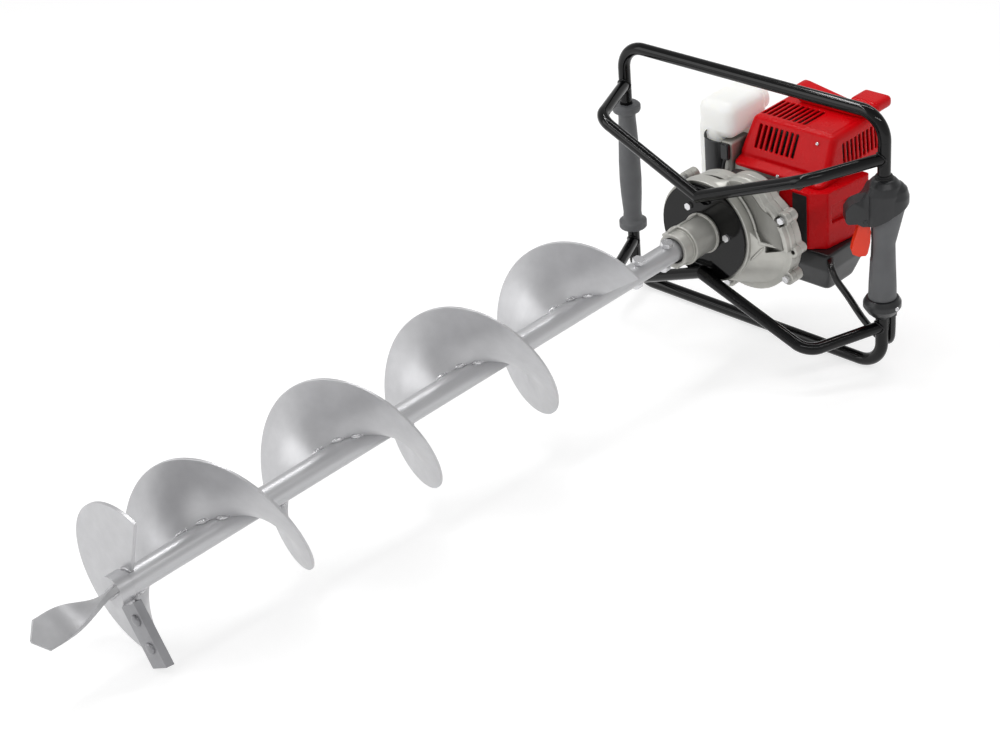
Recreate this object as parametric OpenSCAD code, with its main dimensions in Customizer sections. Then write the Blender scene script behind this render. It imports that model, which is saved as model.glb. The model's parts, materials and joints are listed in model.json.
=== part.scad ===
// Petrol earth auger lying on the ground: auger bit, reduction gearbox, tubular frame and two-stroke engine.
// Every piece is drawn along the drill axis, with X towards the engine.
// The front of the mounting disc is at x = 0.
// The whole machine is then tilted until the cutting blade and the frame's bottom bar touch the ground.

/* [Auger bit] */
// Outer diameter of the flighting
flight_d = 200; // [160:5:240]
// Axial advance of the flighting in one turn
flight_pitch = 213; // [190:1:225]
// Number of turns of the flighting
flight_turns = 3.75; // [3.4:0.05:3.9]
// Thickness of the flighting plate
flight_t = 4; // [3:0.5:6]
// Outer diameter of the centre tube
bit_tube_d = 32; // [30:0.5:35]
// Wall of the centre tube
bit_tube_wall = 3; // [2:0.25:4]
// Length of the centre tube
bit_tube_len = 994; // [960:2:1040]
// Diameter of the bolts through the coupling
coupling_bolt_d = 10; // [8:1:12]
// Distance between the two coupling bolts
coupling_bolt_gap = 60; // [45:1:70]

/* [Tip] */
// Width of the cutting blade
blade_w = 40; // [30:1:46]
// Thickness of the cutting blade
blade_t = 8; // [5:0.5:10]
// How far the blade stands out past the flighting
blade_proud = 4; // [1:0.5:8]
// Diameter of the tip hub
tip_hub_d = 40; // [36:1:48]
// Length of the tip hub
tip_hub_len = 18; // [14:1:26]
// Length of the pilot point
pilot_len = 110; // [80:1:130]
// Width of the pilot point
pilot_w = 40; // [30:1:44]
// Thickness of the pilot point
pilot_t = 8; // [6:0.5:10]

/* [Gearbox] */
// Diameter of the mounting disc
disc_d = 148; // [136:1:156]
// Thickness of the mounting disc
disc_t = 4; // [3:0.5:6]
// Outer diameter of the nose
nose_d = 56; // [54:0.5:60]
// Length of the nose in front of the disc
nose_len = 50; // [44:1:60]
// Outer diameter of the output lobe of the casting
output_lobe_d = 160; // [154:1:168]
// Outer diameter of the engine flange of the casting
input_lobe_d = 160; // [152:1:166]
// Outer diameter of the idler lobe of the casting
idler_lobe_d = 98; // [94:1:106]
// Depth of the front casting
front_case_depth = 42; // [40:0.5:46]
// Depth of the rear flange plate
rear_case_depth = 14; // [13:0.5:18]
// Wall of the castings
case_wall = 5; // [4:0.5:6]
// Teeth on both large gears
gear_teeth = 50; // [50:1:50]
// Teeth on both pinions
pinion_teeth = 10; // [10:1:10]
// Module of the output gear pair
output_module = 2; // [2:0.05:2.1]
// Module of the input gear pair
input_module = 1.5; // [1.45:0.05:1.55]

/* [Frame] */
// Outer diameter of the frame tube
frame_tube_d = 18.5; // [16:0.5:20]
// Wall of the frame tube
frame_tube_wall = 2; // [1.5:0.25:3]
// Outer diameter of the V-brace tube
brace_tube_d = 17.5; // [14:0.5:17.5]
// Distance between the centres of the two legs
loop_w = 464; // [430:2:500]
// Height of the top bar above the drill axis
loop_top = 198; // [185:1:220]
// Depth of the bottom bar below the drill axis
loop_bottom = 194; // [180:1:210]
// Centre-line radius of the loop's corners
loop_bend_r = 38; // [30:1:50]
// Distance of the loop behind the mounting disc
loop_x = 108.5; // [100:0.5:118]
// Half width of the V-braces at their bends
brace_half_w = 184; // [170:1:195]
// Height of the upper brace's bends above the drill axis
brace_top_z = 134; // [120:1:145]
// Depth of the lower brace's bends below the drill axis
brace_bottom_z = 134; // [120:1:145]
// Distance of both brace apexes from the drill axis
brace_apex_z = 61; // [56:1:64]
// Centre-line radius of the brace bends
brace_bend_r = 32; // [24:1:40]
// Diameter of the throttle cable's sleeve
cable_d = 8; // [6:0.5:9]

/* [Handles] */
// Length of the left grip
grip_len = 209; // [180:1:212]
// Largest diameter of the left grip's body
grip_d = 34; // [30:1:38]
// Diameter of the left grip's end collars
grip_collar_d = 43; // [40:1:48]
// Diameter of the throttle grip's body
throttle_d = 38; // [35:1:41]
// Diameter of the throttle grip's bottom collar
throttle_collar_d = 54; // [48:1:56]
// Length of the throttle grip's body
throttle_len = 118; // [112:1:122]
// Width of the trigger
trigger_w = 13; // [10:0.5:14]
// Travel of the trigger in degrees
trigger_travel = 12; // [8:1:12]

/* [Engine] */
// Length of the engine block along the crankshaft
block_len = 80; // [74:1:88]
// Radius of the crankcase
crankcase_r = 44; // [40:0.5:46]
// Length of the louvred shroud along the crankshaft
shroud_len = 148; // [140:1:160]
// Height of the louvred shroud
shroud_h = 66; // [60:1:74]
// Wall of the moulded covers
cover_wall = 3; // [2.5:0.25:4]
// Width of the louvre slots
louvre_w = 5; // [3.5:0.25:5.5]
// Length of the fuel tank along the crankshaft
tank_len = 92; // [84:1:100]
// Height of the fuel tank's upper chamber
tank_h = 56; // [50:1:64]
// Width of the fuel tank's upper chamber
tank_t = 66; // [60:1:74]
// Depth of the fuel tank's lower chamber beside the carburettor
tank_drop = 96; // [80:1:110]
// Radius of the recoil starter housing
recoil_r = 60; // [56:0.5:60]
// Depth of the recoil starter housing
recoil_depth = 36; // [30:1:42]
// Depth of the air filter housing below its seat
filter_h = 68; // [60:1:76]

/* [Hidden] */
$fn = 64;

// Clearances
slip = 0.05;
run = 0.04;
free = 0.3;
eps = 0.01;

// Auger bit
flight_r = flight_d / 2;
bit_r = bit_tube_d / 2;
bit_bore_r = bit_r - bit_tube_wall;
bit_in_nose = 10;
bit_top_x = -nose_len + bit_in_nose;
bit_tip_x = bit_top_x - bit_tube_len;
flight_start_a = 236;
blade_a = 241;
blade_back_x = bit_tip_x + 0.5;
blade_front_x = blade_back_x - blade_t;
flight_start_x = blade_back_x + flight_t / 2 + 0.2;
moon_x = bit_tip_x + 8;
moon_from_a = 264;
moon_to_a = 470;
hub_r = tip_hub_d / 2;
hub_x = bit_tip_x - tip_hub_len;
coupling_bolt_x = bit_top_x - 44;
coupling_bolt_a = 100;
pilot_twist = 92;
pilot_start_a = 48;
pilot_twist_len = 62;
pilot_point_len = 14;

// Gearbox
nose_r = nose_d / 2;
nose_bore_r = bit_r + 3;
nose_ring_r = nose_r + 3;
nose_ring_t = 4;
nose_collar_r = bit_r + 8.5;
nose_collar_len = 18;
shaft_r = bit_bore_r - slip;
bearing_shaft_r = shaft_r - 0.5;
bearing_r = nose_r - 4.5;
bearing_w = 12;
nose_back_x = disc_t + 8;
bearing_x = nose_back_x - 6 - bearing_w;
seal_w = 7;
seal_x = bearing_x - seal_w - 1;
case_front_x = disc_t;
case_wall_x = nose_back_x;
case_part_x = case_front_x + front_case_depth;
case_back_x = case_part_x + rear_case_depth;
output_pair_cc = output_module * (gear_teeth + pinion_teeth) / 2;
input_pair_cc = input_module * (gear_teeth + pinion_teeth) / 2;
crank_y = -50;
crank_z = -9;
crank_off = norm([crank_y, crank_z]);
idler_along = (output_pair_cc^2 - input_pair_cc^2 + crank_off^2) / (2 * crank_off);
idler_across = sqrt(output_pair_cc^2 - idler_along^2);
idler_y = (crank_y * idler_along + crank_z * idler_across) / crank_off;
idler_z = (crank_z * idler_along - crank_y * idler_across) / crank_off;
out_gear_x = case_wall_x + 2;
out_gear_w = 14;
in_gear_x = case_part_x - 11;
in_gear_w = 9;
rear_shaft_r = 8.5;
rear_bearing_r = 16;
rear_bearing_x = out_gear_x + out_gear_w + 2;
rear_bearing_w = 12;
idler_shaft_r = 7;
idler_bush_r = 10;
input_shaft_r = 7.5;
input_bearing_r = 16;
drum_r = 38;
drum_w = 24;
clutch_case_r = 46;
fan_x = case_back_x + 12;
fan_w = 24;
block_x = fan_x + fan_w;
drum_x = block_x - drum_w;
disc_bolt_r = 43;
disc_bolt_angles = [55, 175, 295];
disc_bolt_d = 6;
case_bolt_d = 6;
case_rim = 10;
case_lug_r = 10;
open_lug_r = 8;
boss_r = output_lobe_d / 2 - 2;
boss_depth = 22;
gear_lid_x = in_gear_x - 2 - 1.6 * case_wall;
rim_x = 27;
rim_w = 7;
lobe_reach = input_lobe_d / 2;
case_bolt_spots = [[crank_y, crank_z] + 0.98 * lobe_reach * [cos(144), sin(144)],
    [crank_y, crank_z] + 1.05 * lobe_reach * [cos(212), sin(212)],
    [crank_y, crank_z] + 1.1 * lobe_reach * [cos(293), sin(293)],
    (output_lobe_d / 2 + 1) * [cos(41), sin(41)]];
open_hole_r = 3.25;
open_hole_spot = [crank_y, crank_z] + 1.01 * lobe_reach * [cos(180), sin(180)];

// Frame
tube_r = frame_tube_d / 2;
brace_r = min(brace_tube_d, frame_tube_d - 1) / 2;
leg_y = loop_w / 2;
apex_x = -brace_r - 1.2;
brace_x = -3;
weld_half_w = 14;
weld_h = 7;
brace_leg_top = brace_top_z + 1;
brace_leg_bottom = brace_bottom_z - 6;

// Throttle cable: down behind the right leg, round below the brace and up into the filter housing
cable_r = cable_d / 2;
cable_bore_r = cable_r + slip;
cable_gland_r = cable_r + 2.6;
cable_sides = 10;
cable_steps = 3;
cable_plane = [0.77, 0.64, 0];
cable_route = [[122, -240, -96], [122, -240, -112], [122, -240, -136], [124, -237, -154], [127, -227, -163],
    [126, -215, -160], [120, -207, -148], [108, -197, -124], [94, -183, -88], [84, -171, -62],
    [88, -160, -49], [98, -150.5, -45.5], [108, -141, -42]];

// Handles
grip_bore_r = tube_r + slip;
grip_bottom = -106;
collar_h = 15;
head_r = 26;
head_back = 11;
head_back_r = head_r - 2;
head_bottom = 38;
head_top = 106;
border_z = 50;
border_tilt = 28;
throttle_bottom = head_bottom - throttle_len;
throttle_collar_h = 32;
handle_turn = 135;
snout_len = 54;
snout_w = 24;
trigger_pivot_r = 27;
trigger_pivot_z = 46;
trigger_pin_r = 2.5;
trigger_gap = 0.5;
trigger_stop_x = tube_r + 1.6;
switch_x = 24;
switch_z = 66;
switch_w = 8;
switch_depth = 6;
switch_travel = 6;

// Engine
block_right = crank_y - 46;
block_left = 37;
block_top = crank_z + 61;
block_bottom = crank_z - 27;
block_back_x = block_x + 24 + block_len;
shroud_x = 114;
shroud_right = -122;
shroud_left = 35;
shroud_back_x = shroud_x + shroud_len;
cover_bottom = block_bottom;
cover_front_y = -117;
cover_side_x = 110;
cover_side_y = -136;
cover_back_y = -146;
fan_right = -62;
tank_x = 114;
tank_seat_z = 84;
carburettor_w = 22;
cap_neck_r = 17;
muffler_x = 170;
muffler_len = 70;
guard_x = 222;
guard_t = 28;
cord_r = 2.2;
cord_len = 80;
grip_bar_r = 10;

// Lying position: the outer corner of the blade and the bottom bar touch the ground
blade_tip_r = flight_r + blade_proud;
blade_corner = blade_tip_r * sin(blade_a) + blade_w / 2 * cos(blade_a);
rest_run = loop_x - blade_front_x;
rest_drop = loop_bottom + blade_corner;
lie_angle = asin(tube_r / norm([rest_run, rest_drop])) + atan2(rest_drop, rest_run);
ground_drop = loop_x * sin(lie_angle) - loop_bottom * cos(lie_angle) - tube_r;
back_end_x = block_back_x + recoil_depth + 16 + grip_bar_r;
middle_x = ((hub_x - pilot_len + back_end_x) * cos(lie_angle) - (crank_z + 24) * sin(lie_angle)) / 2 - 0.2;
middle_y = (grip_collar_d / 2 - head_back * sin(handle_turn) - head_back_r) / 2;

// Bars, rings and plates along the drill axis

module row() {
    translate([-middle_x, -middle_y, -ground_drop]) rotate([0, -lie_angle, 0]) children();
}

module bar_x(x0, x1, r) {
    translate([x0, 0, 0]) rotate([0, 90, 0]) cylinder(h = x1 - x0, r = r);
}

module ring_x(x0, x1, r, bore) {
    difference() {
        bar_x(x0, x1, r);
        bar_x(x0 - 1, x1 + 1, bore);
    }
}

module yz_plate(x0, x1) {
    translate([x0, 0, 0]) rotate([90, 0, 90]) linear_extrude(x1 - x0) children();
}

module xz_plate(y0, y1) {
    translate([0, y1, 0]) rotate([90, 0, 0]) linear_extrude(y1 - y0) children();
}

module at_crank() {
    translate([0, crank_y, crank_z]) children();
}

module at_idler() {
    translate([0, idler_y, idler_z]) children();
}

module rounded_box(low, high, r, fn = 16) {
    hull() for (x = [low[0] + r, high[0] - r], y = [low[1] + r, high[1] - r], z = [low[2] + r, high[2] - r])
        translate([x, y, z]) sphere(r = r, $fn = fn);
}

// Flighting

function helix_x(a) = flight_start_x + (a - flight_start_a) / 360 * flight_pitch;

module flight_segment(from_turn, to_turn) {
    step_a = 5;
    inner_r = bit_r + slip;
    a0 = flight_start_a + 360 * from_turn;
    sweep = 360 * (to_turn - from_turn);
    steps = ceil(sweep / step_a);
    rings = [for (i = [0:steps]) a0 + sweep * i / steps];
    points = [for (a = rings, p = [[inner_r, -1], [flight_r, -1], [flight_r, 1], [inner_r, 1]])
        [helix_x(a) + p[1] * flight_t / 2, p[0] * cos(a), p[0] * sin(a)]];
    sides = [for (i = [0:steps - 1], k = [0:3], half = [0, 1])
        let (b = 4 * i, k2 = (k + 1) % 4)
        half == 0 ? [b + k, b + 4 + k, b + k2] : [b + k2, b + 4 + k, b + 4 + k2]];
    last = 4 * steps;
    ends = [[0, 1, 2], [0, 2, 3], [last, last + 2, last + 1], [last, last + 3, last + 2]];
    polyhedron(points, concat(sides, ends));
}

module flight_turn(i) {
    color("silver") flight_segment(i, min(i + 1, flight_turns));
}

module bit_tube() {
    color("silver") difference() {
        ring_x(bit_tip_x, bit_top_x, bit_r, bit_bore_r);
        coupling_holes();
    }
}

module coupling_holes() {
    for (i = [0, 1]) translate([coupling_bolt_x - i * coupling_bolt_gap, 0, 0])
        rotate([coupling_bolt_a - 90, 0, 0])
            cylinder(h = 4 * bit_r, r = coupling_bolt_d / 2 + slip, center = true);
}

module coupling_bolts() {
    head_r = coupling_bolt_d * 0.92;
    head_h = coupling_bolt_d * 0.65;
    seat = bit_r + slip;
    color("white") for (i = [0, 1]) translate([coupling_bolt_x - i * coupling_bolt_gap, 0, 0])
        rotate([coupling_bolt_a - 90, 0, 0]) {
            translate([0, 0, -seat - head_h - 4]) cylinder(h = 2 * seat + head_h + 4, r = coupling_bolt_d / 2);
            translate([0, 0, seat]) cylinder(h = head_h, r = head_r, $fn = 6);
            translate([0, 0, -seat - head_h]) cylinder(h = head_h, r = head_r, $fn = 6);
        }
}

module half_moon_plate() {
    reach = 2 * flight_r;
    mids = [for (i = [0:6]) moon_from_a + (moon_to_a - moon_from_a) * i / 6];
    color("silver") yz_plate(moon_x, moon_x + flight_t) difference() {
        intersection() {
            circle(r = flight_r);
            polygon(concat([[0, 0]], [for (a = mids) reach * [cos(a), sin(a)]]));
        }
        circle(r = bit_r + slip);
    }
}

module blade_frame() {
    rotate([blade_a, 0, 0]) children();
}

module cutting_blade() {
    bevel = 6;
    inner = hub_r + slip;
    color("gray") blade_frame() difference() {
        translate([0, inner, 0]) rotate([0, 0, 90]) rotate([90, 0, 90])
            linear_extrude(blade_tip_r - inner) mirror([1, 0])
                polygon([[blade_front_x, -blade_w / 2 + bevel], [blade_front_x, blade_w / 2],
                    [blade_back_x, blade_w / 2], [blade_back_x, -blade_w / 2]]);
        for (r = blade_bolt_radii()) translate([0, r, 0])
            bar_x(blade_front_x - 1, blade_back_x + 1, blade_bolt_r + slip);
    }
}

blade_bolt_r = 4;
function blade_bolt_radii() = [hub_r + 22, hub_r + 58];

module blade_bolts() {
    color("dimgray") blade_frame() for (r = blade_bolt_radii()) translate([0, r, 0]) {
        bar_x(blade_front_x, blade_back_x, blade_bolt_r);
        translate([blade_front_x - 5, 0, 0]) rotate([0, 90, 0]) cylinder(h = 5, r = 7.5, $fn = 6);
    }
}

module tip_hub() {
    color("gray") {
        bar_x(hub_x, bit_tip_x, hub_r);
        bar_x(bit_tip_x - eps, bit_tip_x + 16, bit_bore_r - slip);
    }
}

module pilot_point() {
    steps = 22;
    half_t = pilot_t / 2;
    spots = [for (i = [0:steps]) pilot_len * i / steps];
    points = [for (d = spots, c = [[-1, -1], [1, -1], [1, 1], [-1, 1]])
        let (turned = min(1, d / pilot_twist_len))
        let (a = pilot_start_a + pilot_twist * turned^2 * (3 - 2 * turned))
        let (half_w = pilot_w / 2 * min(1, 0.1 + 0.9 * (pilot_len - d) / pilot_point_len))
        let (u = c[0] * half_t, v = c[1] * half_w)
        [hub_x - d, u * cos(a) - v * sin(a), u * sin(a) + v * cos(a)]];
    sides = [for (i = [0:steps - 1], k = [0:3], half = [0, 1])
        let (b = 4 * i, k2 = (k + 1) % 4)
        half == 0 ? [b + k, b + k2, b + 4 + k] : [b + k2, b + 4 + k2, b + 4 + k]];
    last = 4 * steps;
    ends = [[0, 2, 1], [0, 3, 2], [last, last + 1, last + 2], [last, last + 2, last + 3]];
    color("silver") polyhedron(points, concat(sides, ends));
}

// Drive train

pressure_a = 25;
addendum = 0.9;
dedendum = 1.25;
backlash = 0.3;

function inv_deg(a) = tan(a) * 180 / PI - a;
function flank_r(n, m, k, steps) =
    let (rp = n * m / 2, low = max(rp * cos(pressure_a), rp - dedendum * m), high = rp + addendum * m)
    low + (high - low) * k / steps;
function flank_a(n, m, r) =
    let (rp = n * m / 2, half = 90 / n - backlash / (2 * rp) * 180 / PI, rb = rp * cos(pressure_a))
    half + inv_deg(pressure_a) - inv_deg(acos(min(1, rb / r)));

module gear_outline(n, m) {
    steps = 3;
    root_r = n * m / 2 - dedendum * m;
    low_a = flank_a(n, m, flank_r(n, m, 0, steps));
    side = concat([[root_r, low_a]], [for (k = [0:steps])
        let (r = flank_r(n, m, k, steps)) [r, flank_a(n, m, r)]]);
    tooth = concat([for (p = side) [p[0], -p[1]]], [for (k = [len(side) - 1:-1:0]) side[k]]);
    polygon([for (i = [0:n - 1], p = tooth) p[0] * [cos(360 / n * i + p[1]), sin(360 / n * i + p[1])]]);
}

output_mesh_a = atan2(idler_z, idler_y);
input_mesh_a = atan2(idler_z - crank_z, idler_y - crank_y);

module output_shaft() {
    color("dimgray") difference() {
        union() {
            bar_x(coupling_bolt_x - coupling_bolt_gap - 16, seal_x - 2, shaft_r);
            bar_x(seal_x - 2 - eps, out_gear_x, bearing_shaft_r);
            bar_x(out_gear_x - eps, rear_bearing_x, bearing_shaft_r - 1);
            bar_x(rear_bearing_x - eps, rear_bearing_x + rear_bearing_w, rear_shaft_r);
        }
        coupling_holes();
    }
}

module output_gear() {
    color("dimgray") difference() {
        yz_plate(out_gear_x, out_gear_x + out_gear_w)
            rotate(output_mesh_a) gear_outline(gear_teeth, output_module);
        bar_x(out_gear_x - 1, rear_bearing_x, bearing_shaft_r - 1 + slip);
    }
}

module idler_shaft() {
    color("dimgray") at_idler() {
        bar_x(case_wall_x - 6, out_gear_x - 1, idler_shaft_r);
        yz_plate(out_gear_x - 1, out_gear_x + out_gear_w + 1)
            rotate(output_mesh_a + 180 + 180 / pinion_teeth) gear_outline(pinion_teeth, output_module);
        bar_x(out_gear_x + out_gear_w + 1, case_part_x + 8, idler_shaft_r);
    }
}

module idler_gear() {
    color("dimgray") at_idler() difference() {
        yz_plate(in_gear_x, in_gear_x + in_gear_w)
            rotate(input_mesh_a + 180 + 180 / gear_teeth) gear_outline(gear_teeth, input_module);
        bar_x(in_gear_x - 1, in_gear_x + in_gear_w + 1, idler_shaft_r + slip);
    }
}

module input_pinion() {
    color("dimgray") at_crank() {
        yz_plate(in_gear_x - 1, in_gear_x + in_gear_w + 1)
            rotate(input_mesh_a) gear_outline(pinion_teeth, input_module);
        bar_x(in_gear_x + in_gear_w + 1, drum_x + 4, input_shaft_r);
    }
}

module clutch_drum() {
    wall = 3;
    color("gray") at_crank() difference() {
        bar_x(drum_x, drum_x + drum_w - 1, drum_r);
        bar_x(drum_x + 4, drum_x + drum_w, drum_r - wall);
        bar_x(drum_x - 1, drum_x + 5, input_shaft_r + slip);
    }
}

module output_bearings() {
    color("gray") {
        ring_x(bearing_x, bearing_x + bearing_w, bearing_r, bearing_shaft_r + run);
        ring_x(rear_bearing_x, rear_bearing_x + rear_bearing_w, rear_bearing_r, rear_shaft_r + run);
    }
}

module oil_seal() {
    color("black") ring_x(seal_x, seal_x + seal_w, nose_bore_r, bearing_shaft_r + run);
}

module idler_bushes() {
    color("goldenrod") at_idler() {
        ring_x(case_wall_x - 6, case_wall_x, idler_bush_r, idler_shaft_r + run);
        ring_x(case_part_x, case_part_x + 8, idler_bush_r, idler_shaft_r + run);
    }
}

module input_bearing() {
    color("gray") at_crank() ring_x(case_part_x + 2, case_part_x + 11, input_bearing_r, input_shaft_r + run);
}

// Gearbox castings

module gearbox_nose() {
    hole_a = 60;
    hole_r = 3.3;
    lip = 5;
    front_x = -nose_len - nose_collar_len;
    rib_a = 78;
    rib_w = 3;
    tab_w = 14;
    tab_h = 6;
    color("gainsboro") difference() {
        union() {
            bar_x(-nose_len, nose_back_x, nose_r);
            bar_x(-nose_ring_t, 0, nose_ring_r);
            bar_x(-nose_len, -nose_len + lip, nose_r + 1.5);
            bar_x(front_x, -nose_len + eps, nose_collar_r);
            rotate([rib_a, 0, 0]) translate([-nose_len + lip - 1, nose_r - 2, -rib_w / 2])
                cube([nose_len - lip, 4, rib_w]);
            for (a = [hole_a, 270]) rotate([a, 0, 0]) translate([front_x, nose_collar_r - 3, -tab_w / 2])
                cube([nose_collar_len + 1, tab_h, tab_w]);
        }
        bar_x(front_x - 1, bearing_x + eps, nose_bore_r + slip);
        bar_x(bearing_x, bearing_x + bearing_w, bearing_r + slip);
        bar_x(bearing_x, nose_back_x + 1, bearing_shaft_r + 4);
        for (a = [hole_a, 270]) translate([front_x + nose_collar_len / 2, 0, 0]) rotate([a - 90, 0, 0])
            cylinder(h = 2 * nose_r, r = hole_r);
    }
}

module mounting_disc() {
    color([0.08, 0.08, 0.09]) difference() {
        union() {
            bar_x(0, disc_t, disc_d / 2);
            for (up = [1, -1]) translate([-weld_h, -weld_half_w, up * (brace_apex_z - brace_r) - weld_h / 2])
                cube([weld_h + eps, 2 * weld_half_w, weld_h]);
        }
        bar_x(-1, disc_t + 1, nose_r + slip);
        disc_bolt_holes(-1);
        for (up = [1, -1], side = [1, -1])
            rod_run(brace_past_apex(side, up), brace_bend(side, up), brace_r + eps);
    }
}

module disc_bolt_holes(x0) {
    for (a = disc_bolt_angles) rotate([a, 0, 0]) translate([0, disc_bolt_r, 0])
        bar_x(x0, case_wall_x - 1, disc_bolt_d / 2 + slip);
}

module disc_bolts() {
    color("white") for (a = disc_bolt_angles) rotate([a, 0, 0]) translate([0, disc_bolt_r, 0]) {
        bar_x(0, case_wall_x - 1.5, disc_bolt_d / 2);
        translate([-4, 0, 0]) rotate([0, 90, 0]) cylinder(h = 4, r = disc_bolt_d * 0.95, $fn = 6);
    }
}

module case_lug(spot, r = case_lug_r) {
    reach = norm(spot - [crank_y, crank_z]);
    translate(spot) circle(r = r);
    if (reach < 1.3 * lobe_reach) translate([crank_y, crank_z])
        rotate(atan2(spot[1] - crank_z, spot[0] - crank_y)) translate([0, -0.9 * r])
            square([reach, 1.8 * r]);
}

module case_outline() {
    circle(r = output_lobe_d / 2 - 6);
    translate([crank_y, crank_z]) circle(r = input_lobe_d / 2);
    translate([idler_y, idler_z]) circle(r = idler_lobe_d / 2);
    for (spot = case_bolt_spots) case_lug(spot);
    case_lug(open_hole_spot, open_lug_r);
}

module at_case_bolts() {
    for (spot = case_bolt_spots) translate([0, spot[0], spot[1]]) children();
}

module case_bolt_holes(x0, x1) {
    at_case_bolts() bar_x(x0, x1, case_bolt_d / 2 + slip);
    translate([0, open_hole_spot[0], open_hole_spot[1]]) bar_x(x0, x1, open_hole_r);
}

module case_cavity() {
    gap = 2.4;
    bar_x(case_wall_x, case_part_x - 12, output_module * (gear_teeth / 2 + addendum) + gap);
    bar_x(case_wall_x, case_part_x + 1, rear_bearing_r + slip);
    at_idler() {
        bar_x(case_wall_x, case_part_x - 12, output_module * (pinion_teeth / 2 + addendum) + gap);
        bar_x(in_gear_x - 2, case_part_x + 1, input_module * (gear_teeth / 2 + addendum) + gap);
        bar_x(case_wall_x - 6, case_wall_x + 1, idler_bush_r + slip);
    }
    at_crank() bar_x(in_gear_x - 3, case_part_x + 1, input_module * (pinion_teeth / 2 + addendum) + gap);
}

// The casting's upper right is a recess: the bell below it ends along two ribs that meet in a point
ridge_top = [-17, 92];
rib_point = [-89, 2];
rib_end = [-140, -7];

module bell_side() {
    polygon([ridge_top, rib_point, rib_end, [rib_end[0], -120], [100, -120], [100, ridge_top[1]]]);
}

module recess_side() {
    lap = 4;
    polygon([ridge_top, rib_point - [0, lap], rib_end - [20, lap], [rib_end[0] - 20, ridge_top[1] + 30],
        [ridge_top[0], ridge_top[1] + 30]]);
}

module gearbox_front() {
    flange_x = case_part_x - case_rim;
    pocket = [rib_point - [6, 4], rib_point - [37, 10], rib_point - [5, 16]];
    color("gainsboro") difference() {
        union() {
            bar_x(case_front_x, case_front_x + boss_depth, boss_r);
            bar_x(case_front_x + 1, flange_x + 1, boss_r - 12);
            intersection() {
                hull() {
                    bar_x(case_front_x + 6, case_front_x + 7, boss_r - 1);
                    at_crank() bar_x(flange_x, flange_x + 1, lobe_reach - 9);
                    at_idler() bar_x(flange_x, flange_x + 1, idler_lobe_d / 2 - 5);
                }
                yz_plate(case_front_x, case_part_x) bell_side();
            }
            at_idler() bar_x(gear_lid_x, flange_x + 1, idler_lobe_d / 2 - 1.5);
            yz_plate(rim_x, flange_x + 1) intersection() {
                translate([crank_y, crank_z]) difference() {
                    circle(r = lobe_reach - 1.5);
                    circle(r = lobe_reach - 1.5 - rim_w);
                }
                recess_side();
            }
            yz_plate(flange_x, case_part_x) case_outline();
        }
        bar_x(case_front_x - 1, case_wall_x + 1, nose_r + slip);
        disc_bolt_holes(case_front_x - 1);
        case_cavity();
        yz_plate(case_front_x, flange_x - 3) polygon(pocket);
        at_case_bolts() bar_x(case_front_x + 8, flange_x, case_lug_r * 0.8);
        case_bolt_holes(flange_x - 1, case_part_x + 1);
    }
}

module gearbox_rear() {
    color("gainsboro") difference() {
        union() {
            yz_plate(case_part_x, case_back_x) case_outline();
            at_crank() bar_x(case_back_x - eps, block_x, clutch_case_r);
        }
        at_crank() {
            bar_x(case_part_x - 1, block_x, input_shaft_r + 1);
            bar_x(case_part_x + 2, case_part_x + 11, input_bearing_r + slip);
            bar_x(case_part_x - 1, case_part_x + 3, input_bearing_r - 2);
            bar_x(drum_x - 2, block_x + 1, drum_r + 2);
        }
        at_idler() bar_x(case_part_x - 1, case_part_x + 8, idler_bush_r + slip);
        case_bolt_holes(case_part_x - 1, case_back_x + 1);
    }
}

module gearbox_bolts() {
    color("white") at_case_bolts() {
        bar_x(case_part_x - case_rim, case_back_x - 2, case_bolt_d / 2);
        translate([case_part_x - case_rim - 6, 0, 0]) rotate([0, 90, 0])
            cylinder(h = 6, r = case_bolt_d * 0.92, $fn = 6);
    }
}

// Tube frame

module tube_run(p, q, r) {
    d = q - p;
    translate(p) rotate([0, acos(d[2] / norm(d)), atan2(d[1], d[0])]) difference() {
        cylinder(h = norm(d), r = r);
        translate([0, 0, -1]) cylinder(h = norm(d) + 2, r = r - frame_tube_wall);
    }
}

module rod_run(p, q, r) {
    d = q - p;
    translate(p) rotate([0, acos(d[2] / norm(d)), atan2(d[1], d[0])]) cylinder(h = norm(d), r = r);
}

function unit(v) = v / norm(v);

module tube_bend(start, t1, t2, bend_r, r, hollow = true) {
    inward = unit(t2 - (t1 * t2) * t1);
    centre = start + inward * bend_r;
    ex = -inward;
    ez = cross(t1, inward);
    turn = acos(t1 * t2);
    multmatrix([[ex[0], t1[0], ez[0], centre[0]], [ex[1], t1[1], ez[1], centre[1]],
        [ex[2], t1[2], ez[2], centre[2]]])
        rotate_extrude(angle = turn) translate([bend_r, 0]) difference() {
            circle(r = r);
            if (hollow) circle(r = r - frame_tube_wall);
        }
}

module bent_tube(a, b, c, bend_r, r) {
    t1 = unit(b - a);
    t2 = unit(c - b);
    cut = bend_r * tan(acos(t1 * t2) / 2);
    lap = 2.5;
    swell = lap^2 / bend_r * 0.65;
    tube_run(a, b - (cut - lap) * t1, r);
    tube_bend(b - cut * t1, t1, t2, bend_r, r + swell, false);
    tube_run(b + (cut - lap) * t2, c, r);
}

module loop_bar(z, towards) {
    inner = leg_y - loop_bend_r;
    up = [0, 0, towards];
    color([0.06, 0.06, 0.06]) {
        tube_bend([loop_x, leg_y, z + towards * loop_bend_r], -up, [0, -1, 0], loop_bend_r, tube_r);
        tube_run([loop_x, inner, z], [loop_x, -inner, z], tube_r);
        tube_bend([loop_x, -inner, z], [0, -1, 0], up, loop_bend_r, tube_r);
    }
}

module loop_top_bar() {
    loop_bar(loop_top, -1);
}

module loop_bottom_bar() {
    loop_bar(-loop_bottom, 1);
}

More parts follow.
